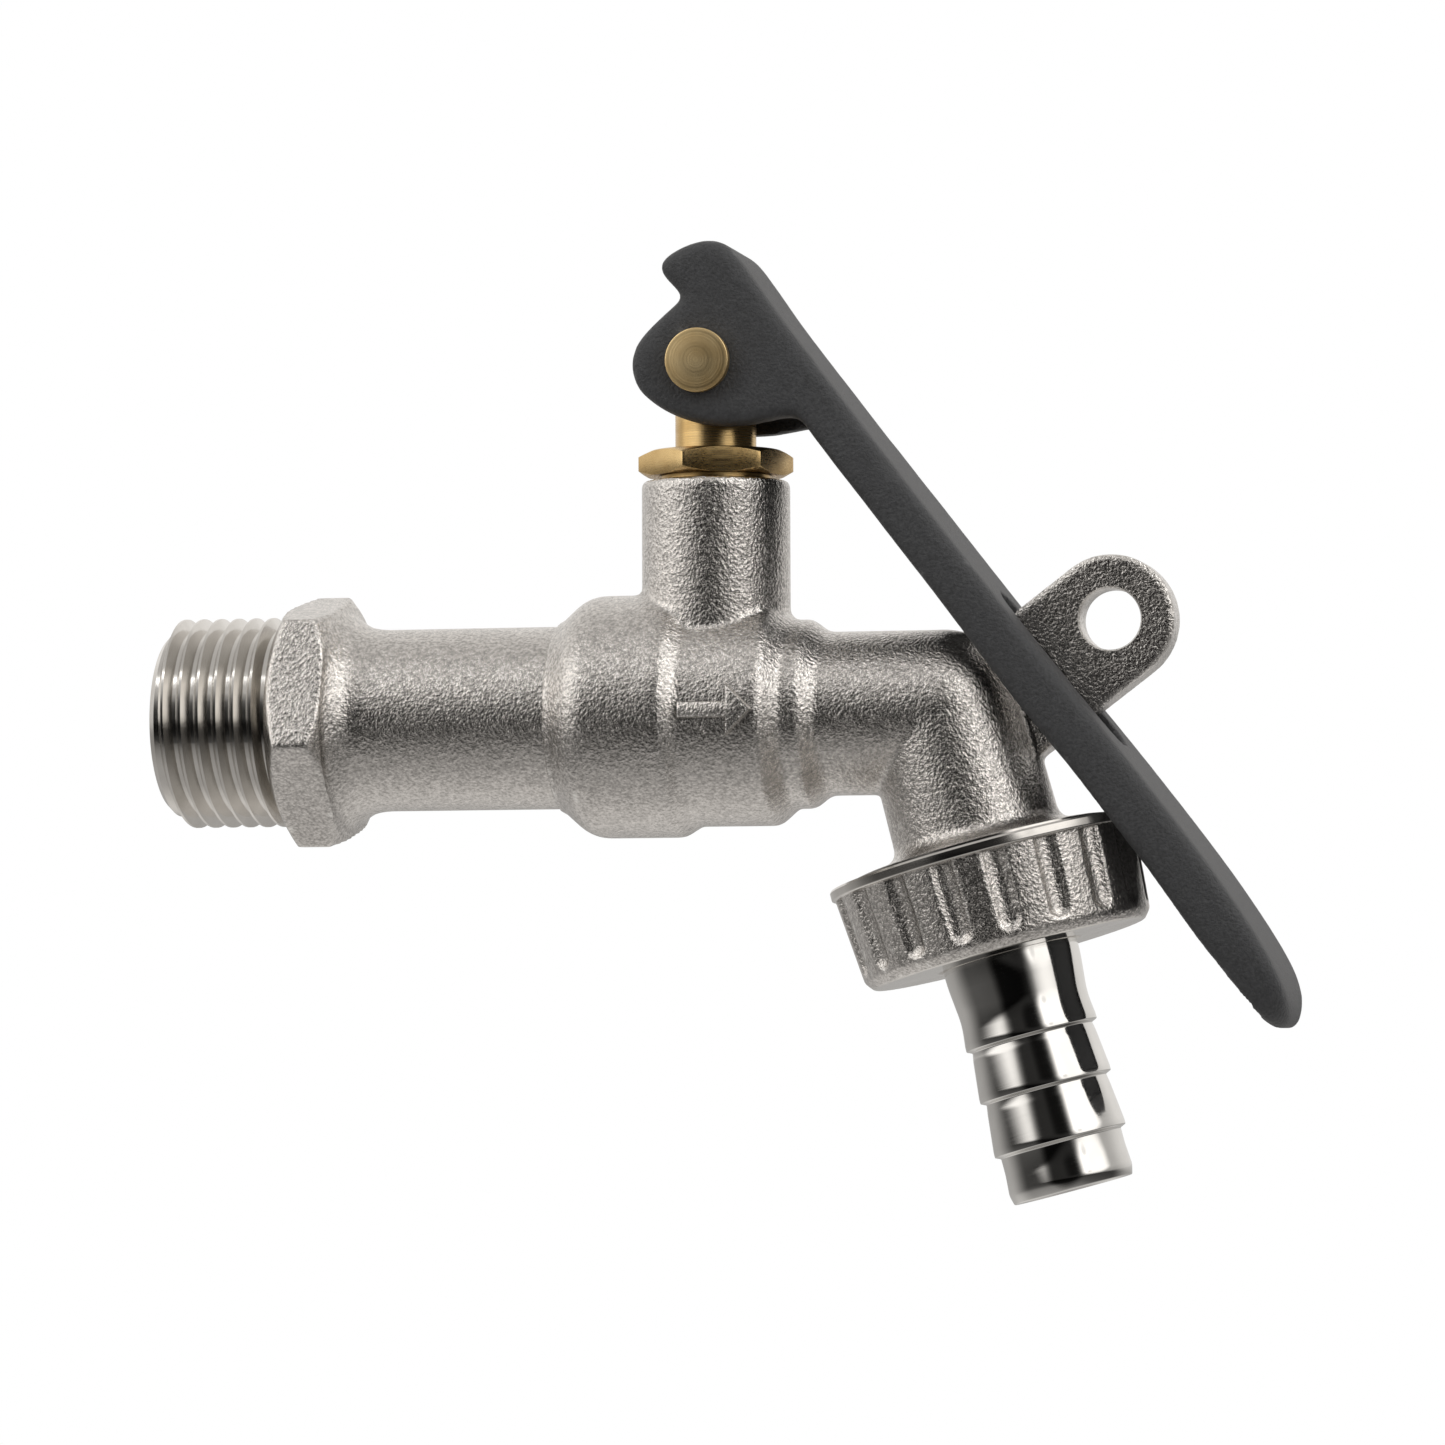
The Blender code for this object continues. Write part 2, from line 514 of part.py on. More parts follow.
def flute_cutter():
    """All flutes in one cutter: round-bottomed rods that lean with the nut's side."""
    bm = bmesh.new()
    low, high = NUT_TOP + 1.3 * MM, NUT_BOTTOM - 2.6 * MM
    for i in range(FLUTES):
        made = bmesh.ops.create_cone(bm, cap_ends=True, segments=8, radius1=1.45 * MM, radius2=1.45 * MM,
                                     depth=high - low)["verts"]
        lean = Matrix.Rotation(-0.075, 4, "Y")
        out = Matrix.Translation((15.75 * MM, 0, (low + high) / 2))
        turn = Matrix.Rotation(2 * pi * i / FLUTES, 4, "Z")
        bmesh.ops.transform(bm, matrix=turn @ out @ lean, verts=made)
    return add("flutes", bm, ALONG_OUTLET, ELBOW)


def make_hose_washer():
    low, high = 19.3 * MM, 21.0 * MM
    washer = turned("hose_washer", [(12.2 * MM, low), (12.2 * MM, high)], [(6.6 * MM, low), (6.6 * MM, high)],
                    tilt=ALONG_OUTLET, place=ELBOW)
    return make_node(washer, "rubber")


def make_hose_tail():
    """Flange, smooth neck and three saw-tooth barbs, bored through."""
    outline = [(12.6 * MM, 21.3 * MM), (12.6 * MM, 22.5 * MM), (TAIL_NECK_R, 22.5 * MM),
               (TAIL_NECK_R, 27.5 * MM), (6.25 * MM, 28.4 * MM)]
    foot = 6.15 * MM
    for tip in BARB_TIPS:
        outline += [(foot, tip - 4.2 * MM), (foot + 0.4 * MM, tip - 0.5 * MM), (foot + 0.4 * MM, tip)]
        outline += [(foot - 0.15 * MM, tip + 0.3 * MM)]
    outline += [(6.0 * MM, HOSE_END - 3 * MM), (6.15 * MM, HOSE_END - 1 * MM), (5.9 * MM, HOSE_END)]
    bore = [(TAIL_BORE_R, 21.3 * MM), (TAIL_BORE_R, HOSE_END)]
    tail = turned("hose_tail", outline, bore, tilt=ALONG_OUTLET, place=ELBOW)
    return make_node(tail, "polished")


clear_scene()
parts = new_collection("garden_tap")
cutters = new_collection("cutters", hidden=True)
make_inlet_tail()
make_body()
make_tail_seal()
make_seat("seat_inlet", CHAMBER_R - CLEAR, STEM_X - TAIL_END - CLEAR, -ALONG_X)
make_seat("seat_outlet", SEAT_R, SEAT_BACK - STEM_X, ALONG_X)
make_ball()
make_stem()
make_stem_seals()
make_gland_nut()
make_pin()
make_lever()
make_coupling_nut()
make_hose_washer()
make_hose_tail()
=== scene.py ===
import bpy
import bmesh
import json
import math
from mathutils import Matrix, Vector


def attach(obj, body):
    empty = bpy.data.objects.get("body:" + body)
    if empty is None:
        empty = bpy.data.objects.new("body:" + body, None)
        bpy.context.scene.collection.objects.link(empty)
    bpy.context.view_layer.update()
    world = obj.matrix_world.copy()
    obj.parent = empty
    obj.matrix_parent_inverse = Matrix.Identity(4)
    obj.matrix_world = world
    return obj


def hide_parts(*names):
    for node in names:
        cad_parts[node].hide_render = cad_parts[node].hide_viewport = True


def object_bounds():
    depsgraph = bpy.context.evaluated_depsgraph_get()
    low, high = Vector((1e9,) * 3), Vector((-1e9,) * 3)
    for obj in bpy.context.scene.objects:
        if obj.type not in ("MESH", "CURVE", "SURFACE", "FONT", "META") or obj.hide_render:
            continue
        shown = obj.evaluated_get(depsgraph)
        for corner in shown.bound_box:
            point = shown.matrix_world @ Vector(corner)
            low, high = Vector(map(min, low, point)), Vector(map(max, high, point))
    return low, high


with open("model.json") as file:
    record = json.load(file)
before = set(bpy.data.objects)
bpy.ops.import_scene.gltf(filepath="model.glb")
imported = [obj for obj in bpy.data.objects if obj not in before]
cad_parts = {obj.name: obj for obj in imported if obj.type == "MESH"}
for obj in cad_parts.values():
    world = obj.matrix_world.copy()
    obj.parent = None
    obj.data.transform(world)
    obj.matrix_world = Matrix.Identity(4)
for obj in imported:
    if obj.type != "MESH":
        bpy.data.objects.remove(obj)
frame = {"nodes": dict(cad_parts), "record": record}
cadBox = [list(corner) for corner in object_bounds()]
joints = {joint["name"]: joint for joint in frame["record"]["behaviour"]["joints"]}

# The frame gives every place; the lengths below are in millimetres
mm = 0.001
pin = Vector(joints["lever_lift"]["pos_m"]) / mm
elbow = Vector(joints["nut_turn"]["pos_m"]) / mm
outletAxis = Vector(joints["nut_turn"]["axis"]).normalized()
stemFoot = Vector((pin.x, 0, 0))
lean = math.pi - math.atan2(outletAxis.x, -outletAxis.z)
alongBody = Matrix.Rotation(math.pi / 2, 4, "Y")
alongOutlet = Matrix.Translation(elbow) @ Matrix.Rotation(lean, 4, "Y")
upStem = Matrix.Translation(stemFoot)
acrossPin = Matrix.Translation(pin) @ Matrix.Rotation(math.pi / 2, 4, "X")
flankSlope = math.tan(math.radians(27.5))
threadPitch = 1.814
spinSteps = 96


# Shared helpers; each piece follows with its own sizes


def softProfile(points, pieces=4):
    # points are (radius, height) or (radius, height, roundness); roundness trims the corner
    made = []
    for i, point in enumerate(points):
        here = Vector(point[:2])
        trim = point[2] if len(point) > 2 else 0
        if not trim or i in (0, len(points) - 1):
            made.append(tuple(here))
            continue
        before = here + (Vector(points[i - 1][:2]) - here).normalized() * trim
        after = here + (Vector(points[i + 1][:2]) - here).normalized() * trim
        for step in range(pieces + 1):
            t = step / pieces
            made.append(tuple(before * (1 - t) ** 2 + here * 2 * t * (1 - t) + after * t ** 2))
    return made


def turned(points, place, steps=spinSteps, ring=False):
    # spins a profile about Z; a profile that isn't a ring is closed on the axis
    bm = bmesh.new()
    if not ring:
        points = [(0, points[0][1]), *points, (0, points[-1][1])]
    verts = [bm.verts.new((radius, 0, height)) for radius, height in points]
    edges = [bm.edges.new(pair) for pair in zip(verts, verts[1:])]
    if ring:
        edges.append(bm.edges.new((verts[-1], verts[0])))
    bmesh.ops.spin(bm, geom=verts + edges, cent=(0, 0, 0), axis=(0, 0, 1), dvec=(0, 0, 0),
                   angle=2 * math.pi, steps=steps, use_merge=True)
    bmesh.ops.remove_doubles(bm, verts=bm.verts, dist=0.0005)
    bmesh.ops.dissolve_degenerate(bm, edges=bm.edges, dist=0.0005)
    bmesh.ops.recalc_face_normals(bm, faces=bm.faces)
    bmesh.ops.transform(bm, matrix=place, verts=bm.verts)
    return bm


def helix(foot, crest, start, turns, halfCrest, place, steps=48):
    # one thread ridge, which sinks into its core at both ends
    halfFoot = halfCrest + abs(crest - foot) * flankSlope
    bm = bmesh.new()
    section = [(foot, -halfFoot), (crest, -halfCrest), (crest, halfCrest), (foot, halfFoot)]
    face = bm.faces.new([bm.verts.new((radius, 0, start + height)) for radius, height in section])
    count = round(turns * steps)
    bmesh.ops.spin(bm, geom=[face, *face.edges, *face.verts], cent=(0, 0, 0), axis=(0, 0, 1),
                   dvec=(0, 0, threadPitch / steps), angle=2 * math.pi * count / steps, steps=count)
    low, high = start - halfFoot, start + turns * threadPitch + halfFoot
    for vert in bm.verts:
        radius = math.hypot(vert.co.x, vert.co.y)
        shown = min(vert.co.z - low, high - vert.co.z) / (0.35 * threadPitch) - 0.6
        wanted = foot + (radius - foot) * max(0.05, min(1, shown))
        vert.co.x *= wanted / radius
        vert.co.y *= wanted / radius
    bmesh.ops.recalc_face_normals(bm, faces=bm.faces)
    bmesh.ops.transform(bm, matrix=place, verts=bm.verts)
    return bm


def slab(outline, low, high, place):
    # a flat outline raised from low to high
    bm = bmesh.new()
    face = bm.faces.new([bm.verts.new((x, y, low)) for x, y in outline])
    raised = bmesh.ops.extrude_face_region(bm, geom=[face])["geom"]
    bmesh.ops.translate(bm, verts=[v for v in raised if isinstance(v, bmesh.types.BMVert)],
                        vec=(0, 0, high - low))
    bmesh.ops.recalc_face_normals(bm, faces=bm.faces)
    bmesh.ops.transform(bm, matrix=place, verts=bm.verts)
    return bm


def ballAt(radius, place):
    bm = bmesh.new()
    bmesh.ops.create_uvsphere(bm, u_segments=spinSteps, v_segments=spinSteps // 2, radius=radius)
    bmesh.ops.transform(bm, matrix=place, verts=bm.verts)
    return bm


def roundArc(radius, centre, start, end, count):
    turns = [math.radians(start + (end - start) * i / count) for i in range(count + 1)]
    return [(centre[0] + radius * math.cos(t), centre[1] + radius * math.sin(t)) for t in turns]


def toObject(name, bm):
    bmesh.ops.scale(bm, verts=bm.verts, vec=(mm, mm, mm))
    mesh = bpy.data.meshes.new(name)
    bm.to_mesh(mesh)
    bm.free()
    made = bpy.data.objects.new(name, mesh)
    bpy.context.scene.collection.objects.link(made)
    return made


def settle(obj):
    # applies the modifiers and drops the objects they used
    tools = [m.object for m in obj.modifiers if m.type == "BOOLEAN"]
    graph = bpy.context.evaluated_depsgraph_get()
    mesh = bpy.data.meshes.new_from_object(obj.evaluated_get(graph))
    obj.modifiers.clear()
    old, obj.data = obj.data, mesh
    bpy.data.meshes.remove(old)
    for tool in tools:
        bpy.data.objects.remove(tool, do_unlink=True)
    return obj


def combine(obj, operation, shapes):
    for i, shape in enumerate(shapes):
        tool = toObject(f"tool{i}", shape)
        step = obj.modifiers.new(tool.name, "BOOLEAN")
        step.operation = operation
        step.solver = "EXACT"
        step.object = tool
    return settle(obj)


def castSkin(obj, voxel, rounds):
    # an even mesh whose edges are rounded like a casting's
    step = obj.modifiers.new("skin", "REMESH")
    step.mode = "VOXEL"
    step.voxel_size = voxel * mm
    settle(obj)
    step = obj.modifiers.new("soften", "SMOOTH")
    step.factor = 0.5
    step.iterations = rounds
    return settle(obj)


def machine(obj, material, place, isCut):
    # gives the faces that a tool has cut a second finish; isCut gets radius and height along place
    obj.data.materials.append(material)
    back = place.inverted()
    for face in obj.data.polygons:
        at = back @ (face.center / mm)
        if isCut(math.hypot(at.x, at.y), at.z):
            face.material_index = len(obj.data.materials) - 1


def finishPiece(obj, body, material, nodes, sharp=35):
    obj.data.materials.clear()
    obj.data.materials.append(material)
    for face in obj.data.polygons:
        face.material_index = 0
    obj.data.shade_smooth()
    if sharp:
        obj.data.set_sharp_from_angle(angle=math.radians(sharp))
    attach(obj, body)
    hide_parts(*nodes)
    return obj


# Finishes


def newGroup(name, inputs, outputs):
    group = bpy.data.node_groups.new(name, "ShaderNodeTree")
    for label, kind, value in inputs:
        socket = group.interface.new_socket(label, in_out="INPUT", socket_type=kind)
        socket.default_value = value
    for label, kind in outputs:
        group.interface.new_socket(label, in_out="OUTPUT", socket_type=kind)
    return group, group.nodes.new("NodeGroupInput"), group.nodes.new("NodeGroupOutput")


def noiseNode(tree, scale, detail=2.0, roughness=0.5):
    node = tree.nodes.new("ShaderNodeTexNoise")
    node.inputs["Scale"].default_value = scale
    node.inputs["Detail"].default_value = detail
    node.inputs["Roughness"].default_value = roughness
    return node


def mathNode(tree, operation, first, second=0.5, clamp=False):
    node = tree.nodes.new("ShaderNodeMath")
    node.operation = operation
    node.use_clamp = clamp
    for socket, value in zip(node.inputs, (first, second)):
        if isinstance(value, (int, float)):
            socket.default_value = value
        else:
            tree.links.new(value, socket)
    return node.outputs[0]


def makeGrainGroup():
    # fine pits and peaks of a blasted or sprayed surface, as height, and slow patches, as a mask
    group, inner, outer = newGroup("surfaceGrain", [
        ("Grain Size", "NodeSocketFloat", 0.25), ("Patch Size", "NodeSocketFloat", 8.0)],
        [("Height", "NodeSocketFloat"), ("Patches", "NodeSocketFloat")])
    where = group.nodes.new("ShaderNodeTexCoord").outputs["Object"]
    fine = noiseNode(group, 1, 3.0, 0.55)
    coarse = noiseNode(group, 1, 1.0, 0.4)
    patch = noiseNode(group, 1, 3.0, 0.5)
    perMetre = mathNode(group, "DIVIDE", 1000.0, inner.outputs["Grain Size"])
    group.links.new(perMetre, fine.inputs["Scale"])
    group.links.new(mathNode(group, "MULTIPLY", perMetre, 0.42), coarse.inputs["Scale"])
    group.links.new(mathNode(group, "DIVIDE", 1000.0, inner.outputs["Patch Size"]),
                    patch.inputs["Scale"])
    for node in (fine, coarse, patch):
        group.links.new(where, node.inputs["Vector"])
    mixed = mathNode(group, "ADD", mathNode(group, "MULTIPLY", fine.outputs["Fac"], 0.75),
                     mathNode(group, "MULTIPLY", coarse.outputs["Fac"], 0.25))
    group.links.new(mixed, outer.inputs["Height"])
    group.links.new(patch.outputs["Fac"], outer.inputs["Patches"])
    return group


def makeRingsGroup():
    # faint rings that a lathe tool leaves round an axis, from a coordinate set by a Mapping node
    group, inner, outer = newGroup("toolRings", [
        ("Vector", "NodeSocketVector", (0, 0, 0)), ("Spacing", "NodeSocketFloat", 0.12)],
        [("Height", "NodeSocketFloat")])
    apart = group.nodes.new("ShaderNodeSeparateXYZ")
    group.links.new(inner.outputs["Vector"], apart.inputs[0])
    x2 = mathNode(group, "MULTIPLY", apart.outputs["X"], apart.outputs["X"])
    y2 = mathNode(group, "MULTIPLY", apart.outputs["Y"], apart.outputs["Y"])
    radius = mathNode(group, "SQRT", mathNode(group, "ADD", x2, y2))
    join = group.nodes.new("ShaderNodeCombineXYZ")
    group.links.new(radius, join.inputs["X"])
    group.links.new(apart.outputs["Z"], join.inputs["Z"])
    rings = noiseNode(group, 1, 2.0, 0.6)
    group.links.new(join.outputs[0], rings.inputs["Vector"])
    group.links.new(mathNode(group, "DIVIDE", 1000.0, inner.outputs["Spacing"]),
                    rings.inputs["Scale"])
    group.links.new(rings.outputs["Fac"], outer.inputs["Height"])
    return group


def makeEdgeHighlightHollowShadeGroup():
    # painted highlight and painted shade: a lighter colour along outer edges and a darker colour in the
    # hollows, found from pointiness
    group, inner, outer = newGroup("edgeHighlightHollowShade", [("Spread", "NodeSocketFloat", 1.0)],
                                   [("Edges", "NodeSocketFloat"), ("Hollows", "NodeSocketFloat")])
    point = group.nodes.new("ShaderNodeNewGeometry").outputs["Pointiness"]
    edges = mathNode(group, "MULTIPLY", mathNode(group, "SUBTRACT", point, 0.505), 14.0)
    hollows = mathNode(group, "MULTIPLY", mathNode(group, "SUBTRACT", 0.49, point), 12.0)
    for value, label in ((edges, "Edges"), (hollows, "Hollows")):
        group.links.new(mathNode(group, "MULTIPLY", value, inner.outputs["Spread"], True),
                        outer.inputs[label])
    return group


surfaceGrain = makeGrainGroup()
toolRings = makeRingsGroup()
edgeHighlightHollowShade = makeEdgeHighlightHollowShadeGroup()


def addGroup(tree, group, **values):
    node = tree.nodes.new("ShaderNodeGroup")
    node.node_tree = group
    for label, value in values.items():
        node.inputs[label.replace("_", " ")].default_value = value
    return node


def mixColours(tree, amount, first, second):
    node = tree.nodes.new("ShaderNodeMix")
    node.data_type = "RGBA"
    tree.links.new(amount, node.inputs[0])
    for socket, value in ((node.inputs[6], first), (node.inputs[7], second)):
        if isinstance(value, tuple):
            socket.default_value = (*value, 1)
        else:
            tree.links.new(value, socket)
    return node.outputs[2]


def mapRange(tree, value, low, high, fromLow=0.3, fromHigh=0.7):
    node = tree.nodes.new("ShaderNodeMapRange")
    node.inputs["From Min"].default_value = fromLow
    node.inputs["From Max"].default_value = fromHigh
    node.inputs["To Min"].default_value = low
    node.inputs["To Max"].default_value = high
    tree.links.new(value, node.inputs["Value"])
    return node.outputs[0]


def newFinish(name, metallic):
    made = bpy.data.materials.new(name)
    made.use_nodes = True
    shader = made.node_tree.nodes["Principled BSDF"]
    shader.inputs["Metallic"].default_value = metallic
    return made, made.node_tree, shader


def bumpFrom(tree, shader, height, strength, depth):
    node = tree.nodes.new("ShaderNodeBump")
    node.inputs["Strength"].default_value = strength
    node.inputs["Distance"].default_value = depth * mm
    tree.links.new(height, node.inputs["Height"])
    tree.links.new(node.outputs["Normal"], shader.inputs["Normal"])


def turnedVector(tree, place):
    # object coordinates seen from a turned piece's own axis
    where = tree.nodes.new("ShaderNodeTexCoord").outputs["Object"]
    turn = place.to_3x3().inverted()
    mapping = tree.nodes.new("ShaderNodeMapping")
    mapping.vector_type = "POINT"
    mapping.inputs["Rotation"].default_value = turn.to_euler()
    mapping.inputs["Location"].default_value = -(turn @ place.to_translation()) * mm
    tree.links.new(where, mapping.inputs["Vector"])
    return mapping.outputs[0]


def blastedNickel(name, look):
    made, tree, shader = newFinish(name, 1.0)
    grain = addGroup(tree, surfaceGrain, Grain_Size=look["grain"], Patch_Size=7.0)
    paintedLightAndShade = addGroup(tree, edgeHighlightHollowShade, Spread=look["paintedLightAndShade"])
    # painted shade: the pits are coloured darker than the peaks, so the grain shows where the light is even
    # too
    pitShaded = mixColours(tree, mapRange(tree, grain.outputs["Height"], 0, 1, 0.34, 0.62),
                        look["dark"], look["light"])
    # painted shade in the hollows, then a painted highlight along the outer edges
    withHollowShade = mixColours(tree, paintedLightAndShade.outputs["Hollows"], pitShaded, look["hollowShade"])
    tree.links.new(mixColours(tree, paintedLightAndShade.outputs["Edges"], withHollowShade, look["edge"]), shader.inputs["Base Color"])
    tree.links.new(mapRange(tree, grain.outputs["Patches"], *look["roughness"]), shader.inputs["Roughness"])
    bumpFrom(tree, shader, grain.outputs["Height"], look["bump"], look["depth"])
    return made


def turnedMetal(name, look, place):
    made, tree, shader = newFinish(name, 1.0)
    rings = addGroup(tree, toolRings, Spacing=look["spacing"])
    tree.links.new(turnedVector(tree, place), rings.inputs["Vector"])
    grain = addGroup(tree, surfaceGrain, Grain_Size=0.6, Patch_Size=look["patch"])
    patched = mixColours(tree, mapRange(tree, grain.outputs["Patches"], 0, 1),
                         look["dark"], look["light"])
    tree.links.new(patched, shader.inputs["Base Color"])
    tree.links.new(mapRange(tree, rings.outputs["Height"], *look["roughness"]), shader.inputs["Roughness"])
    bumpFrom(tree, shader, rings.outputs["Height"], look["bump"], look["depth"])
    return made


def sprayedPaint(name, look):
    made, tree, shader = newFinish(name, 0.0)
    grain = addGroup(tree, surfaceGrain, Grain_Size=look["grain"], Patch_Size=12.0)
    paintedLightAndShade = addGroup(tree, edgeHighlightHollowShade, Spread=0.6)
    # painted shade: the grain's pits are coloured darker than its peaks; painted highlight: outer edges are
    # coloured lighter
    base = mixColours(tree, mapRange(tree, grain.outputs["Height"], 0, 1), look["dark"], look["light"])
    tree.links.new(mixColours(tree, paintedLightAndShade.outputs["Edges"], base, look["edge"]), shader.inputs["Base Color"])
    tree.links.new(mapRange(tree, grain.outputs["Height"], *look["roughness"]), shader.inputs["Roughness"])
    shader.inputs["Specular IOR Level"].default_value = look["specular"]
    bumpFrom(tree, shader, grain.outputs["Height"], look["bump"], look["depth"])
    return made


def plainSolid(name, look):
    made, tree, shader = newFinish(name, 0.0)
    grain = addGroup(tree, surfaceGrain, Grain_Size=look["grain"], Patch_Size=4.0)
    base = mixColours(tree, mapRange(tree, grain.outputs["Patches"], 0, 1), look["dark"], look["light"])
    tree.links.new(base, shader.inputs["Base Color"])
    tree.links.new(mapRange(tree, grain.outputs["Height"], *look["roughness"]), shader.inputs["Roughness"])
    bumpFrom(tree, shader, grain.outputs["Height"], 0.3, look["depth"])
    return made


# dark and light colour the grain's pits and peaks as painted shade; the hollow colour is painted shade and
# edge is a painted highlight along the outer edges
nickelLook = {"grain": 0.30, "paintedLightAndShade": 0.5, "dark": (0.40, 0.385, 0.365), "light": (0.75, 0.72, 0.69),
              "hollowShade": (0.24, 0.23, 0.215), "edge": (0.80, 0.78, 0.75), "roughness": (0.13, 0.22),
              "bump": 1.0, "depth": 0.17}
nutLook = {**nickelLook, "grain": 0.30, "depth": 0.17}
threadLook = {"spacing": 0.10, "patch": 4.0, "dark": (0.58, 0.56, 0.53), "light": (0.70, 0.68, 0.65),
              "roughness": (0.11, 0.20), "bump": 0.2, "depth": 0.015}
polishedLook = {"spacing": 0.10, "patch": 5.0, "dark": (0.66, 0.65, 0.63), "light": (0.76, 0.75, 0.73),
                "roughness": (0.05, 0.12), "bump": 0.10, "depth": 0.008}
brassLook = {"spacing": 0.14, "patch": 3.0, "dark": (0.56, 0.37, 0.15), "light": (0.74, 0.53, 0.25),
             "roughness": (0.20, 0.36), "bump": 0.35, "depth": 0.02}
# dark and light colour the grain's pits and peaks as painted shade; edge is a painted highlight along the
# lever's outer edges
paintLook = {"grain": 0.30, "dark": (0.052, 0.053, 0.056), "light": (0.092, 0.095, 0.100),
             "edge": (0.115, 0.118, 0.123), "roughness": (0.48, 0.62), "specular": 0.34,
             "bump": 1.0, "depth": 0.20}
plasticLook = {"grain": 0.5, "dark": (0.78, 0.78, 0.76), "light": (0.88, 0.88, 0.86),
               "roughness": (0.36, 0.5), "depth": 0.02}
rubberLook = {"grain": 0.3, "dark": (0.018, 0.018, 0.018), "light": (0.035, 0.035, 0.035),
              "roughness": (0.5, 0.7), "depth": 0.03}

satinNickel = blastedNickel("satinNickel", nickelLook)
fluteNickel = blastedNickel("fluteNickel", nutLook)
inletNickel = turnedMetal("inletNickel", threadLook, alongBody)
outletNickel = turnedMetal("outletNickel", threadLook, alongOutlet)
polishedNickel = turnedMetal("polishedNickel", polishedLook, alongOutlet)
stemBrass = turnedMetal("stemBrass", brassLook, upStem)
# painted light: the pin's brass is coloured lighter than the stem's brass to make up for the dark reflection
# on its face
pinLook = {**brassLook, "spacing": 0.22, "dark": (0.74, 0.53, 0.25), "light": (0.92, 0.72, 0.40),
           "roughness": (0.34, 0.52), "bump": 0.5, "depth": 0.03}
pinBrass = turnedMetal("pinBrass", pinLook, acrossPin)
greyPaint = sprayedPaint("greyPaint", paintLook)
whitePlastic = plainSolid("whitePlastic", plasticLook)
blackRubber = plainSolid("blackRubber", rubberLook)
print("finishes made")


# Valve body: one casting with the ball housing, elbow, outlet, boss and padlock lug

body = {
    "start": 40.2, "bands": ((12.0, 43.8, 52.3), (10.95, 54.0, 61.9), (9.3, 63.8, 65.5)),
    "spout": 8.05, "spoutStart": 67.1, "boss": 7.33, "bossTop": 23.1,
    "lugCentre": (95.2, 8.7), "lugRadius": 6.3, "lugHole": 3.0, "lugThick": 4.4, "armRise": 37,
    "outletCore": 12.06, "outletCrest": 13.22, "shoulder": 14.1, "outletEnd": 19.0, "threadStart": 15.3,
    "voxel": 0.32, "softening": 3,
}


def bodySkin():
    first, second, third = body["bands"]
    barrel = [(9.5, body["start"]), (9.6, body["start"] + 0.5, 0), (12.0, body["start"] + 3.2, 1.5)]
    barrel += [(first[0], first[1] + 1.2), (first[0], first[2], 0.4), (second[0], second[1], 0.3),
               (second[0], second[2], 0.5), (third[0], third[1], 0.4), (third[0], third[2], 0.4),
               (body["spout"], body["spoutStart"], 0.6), (body["spout"], elbow.x)]
    outlet = [(body["spout"], 0), (body["spout"] + 0.2, 12.1), (8.6, 12.9, 0.4), (9.8, 13.35, 0.4),
              (12.9, 13.75, 0.1), (12.9, body["shoulder"])]
    boss = [(body["boss"], 2), (body["boss"], body["bossTop"], 0.5), (body["boss"] - 0.8, body["bossTop"])]
    rise = body["armRise"]
    lugX, lugZ = body["lugCentre"]
    length = (lugX - elbow.x) / math.cos(math.radians(rise))
    root = (elbow.x, lugZ - length * math.sin(math.radians(rise)))
    plate = roundArc(body["lugRadius"], root, rise + 90, rise + 270, 12)
    plate += roundArc(body["lugRadius"], (lugX, lugZ), rise - 90, rise + 90, 32)
    upright = Matrix.Rotation(math.pi / 2, 4, "X")
    half = body["lugThick"] / 2
    made = toObject("valveBody", turned(softProfile(barrel), alongBody))
    combine(made, "UNION", [ballAt(body["spout"] * 1.002, Matrix.Translation(elbow)),
                            turned(softProfile(outlet), alongOutlet),
                            turned(softProfile(boss), upStem), slab(plate, -half, half, upright)])
    castSkin(made, body["voxel"], body["softening"])
    return combine(made, "UNION", [flowArrow()])


def flowArrow():
    # a plain raised arrow, which shows the direction of flow, on the housing's near side
    arrow = {"middle": 57.9, "reach": 3.7, "shaft": 0.8, "head": 2.6, "proud": 0.85}
    reach, shaft, head = arrow["reach"], arrow["shaft"], arrow["head"]
    outline = [(-reach, -shaft), (reach - 2.6, -shaft), (reach - 2.6, -head), (reach, 0),
               (reach - 2.6, head), (reach - 2.6, shaft), (-reach, shaft)]
    place = Matrix.Translation((arrow["middle"], 0, 0)) @ Matrix.Rotation(math.pi / 2, 4, "X")
    top = body["bands"][1][0] + arrow["proud"]
    made = slab(outline, 9, top, place)
    rim = [edge for edge in made.edges if all(vert.co.y < 0.1 - top for vert in edge.verts)]
    bmesh.ops.bevel(made, geom=rim, offset=0.42, segments=2, profile=0.5, affect="EDGES")
    return made


def bodyCuts():
    along = [(9.36, body["start"] - 1), (9.36, 43.6), (10.2, 43.6), (10.2, 47.3), (9.2, 47.3), (9.2, 59.0),
             (8.1, 60.6), (8.1, 64.0), (5.1, 64.0), (5.1, elbow.x)]
    down = [(5.1, 0), (5.1, 8), (6.0, 9), (6.0, body["outletEnd"] + 1)]
    up = [(5.2, 4), (5.2, 11.4), (4.5, 11.4), (4.5, 16.2), (5.7, 16.2), (5.7, body["bossTop"] + 1)]
    lugX, lugZ = body["lugCentre"]
    hole = Matrix.Translation((lugX, 0, lugZ)) @ Matrix.Rotation(math.pi / 2, 4, "X")
    radius = body["lugHole"]
    bore = [(radius + 0.7, -3.2), (radius, -1.9), (radius, 1.9), (radius + 0.7, 3.2)]
    return [turned(along, alongBody), ballAt(5.1 * 1.002, Matrix.Translation(elbow)),
            turned(down, alongOutlet), turned(up, upStem), turned(softProfile(bore), hole, 64)]


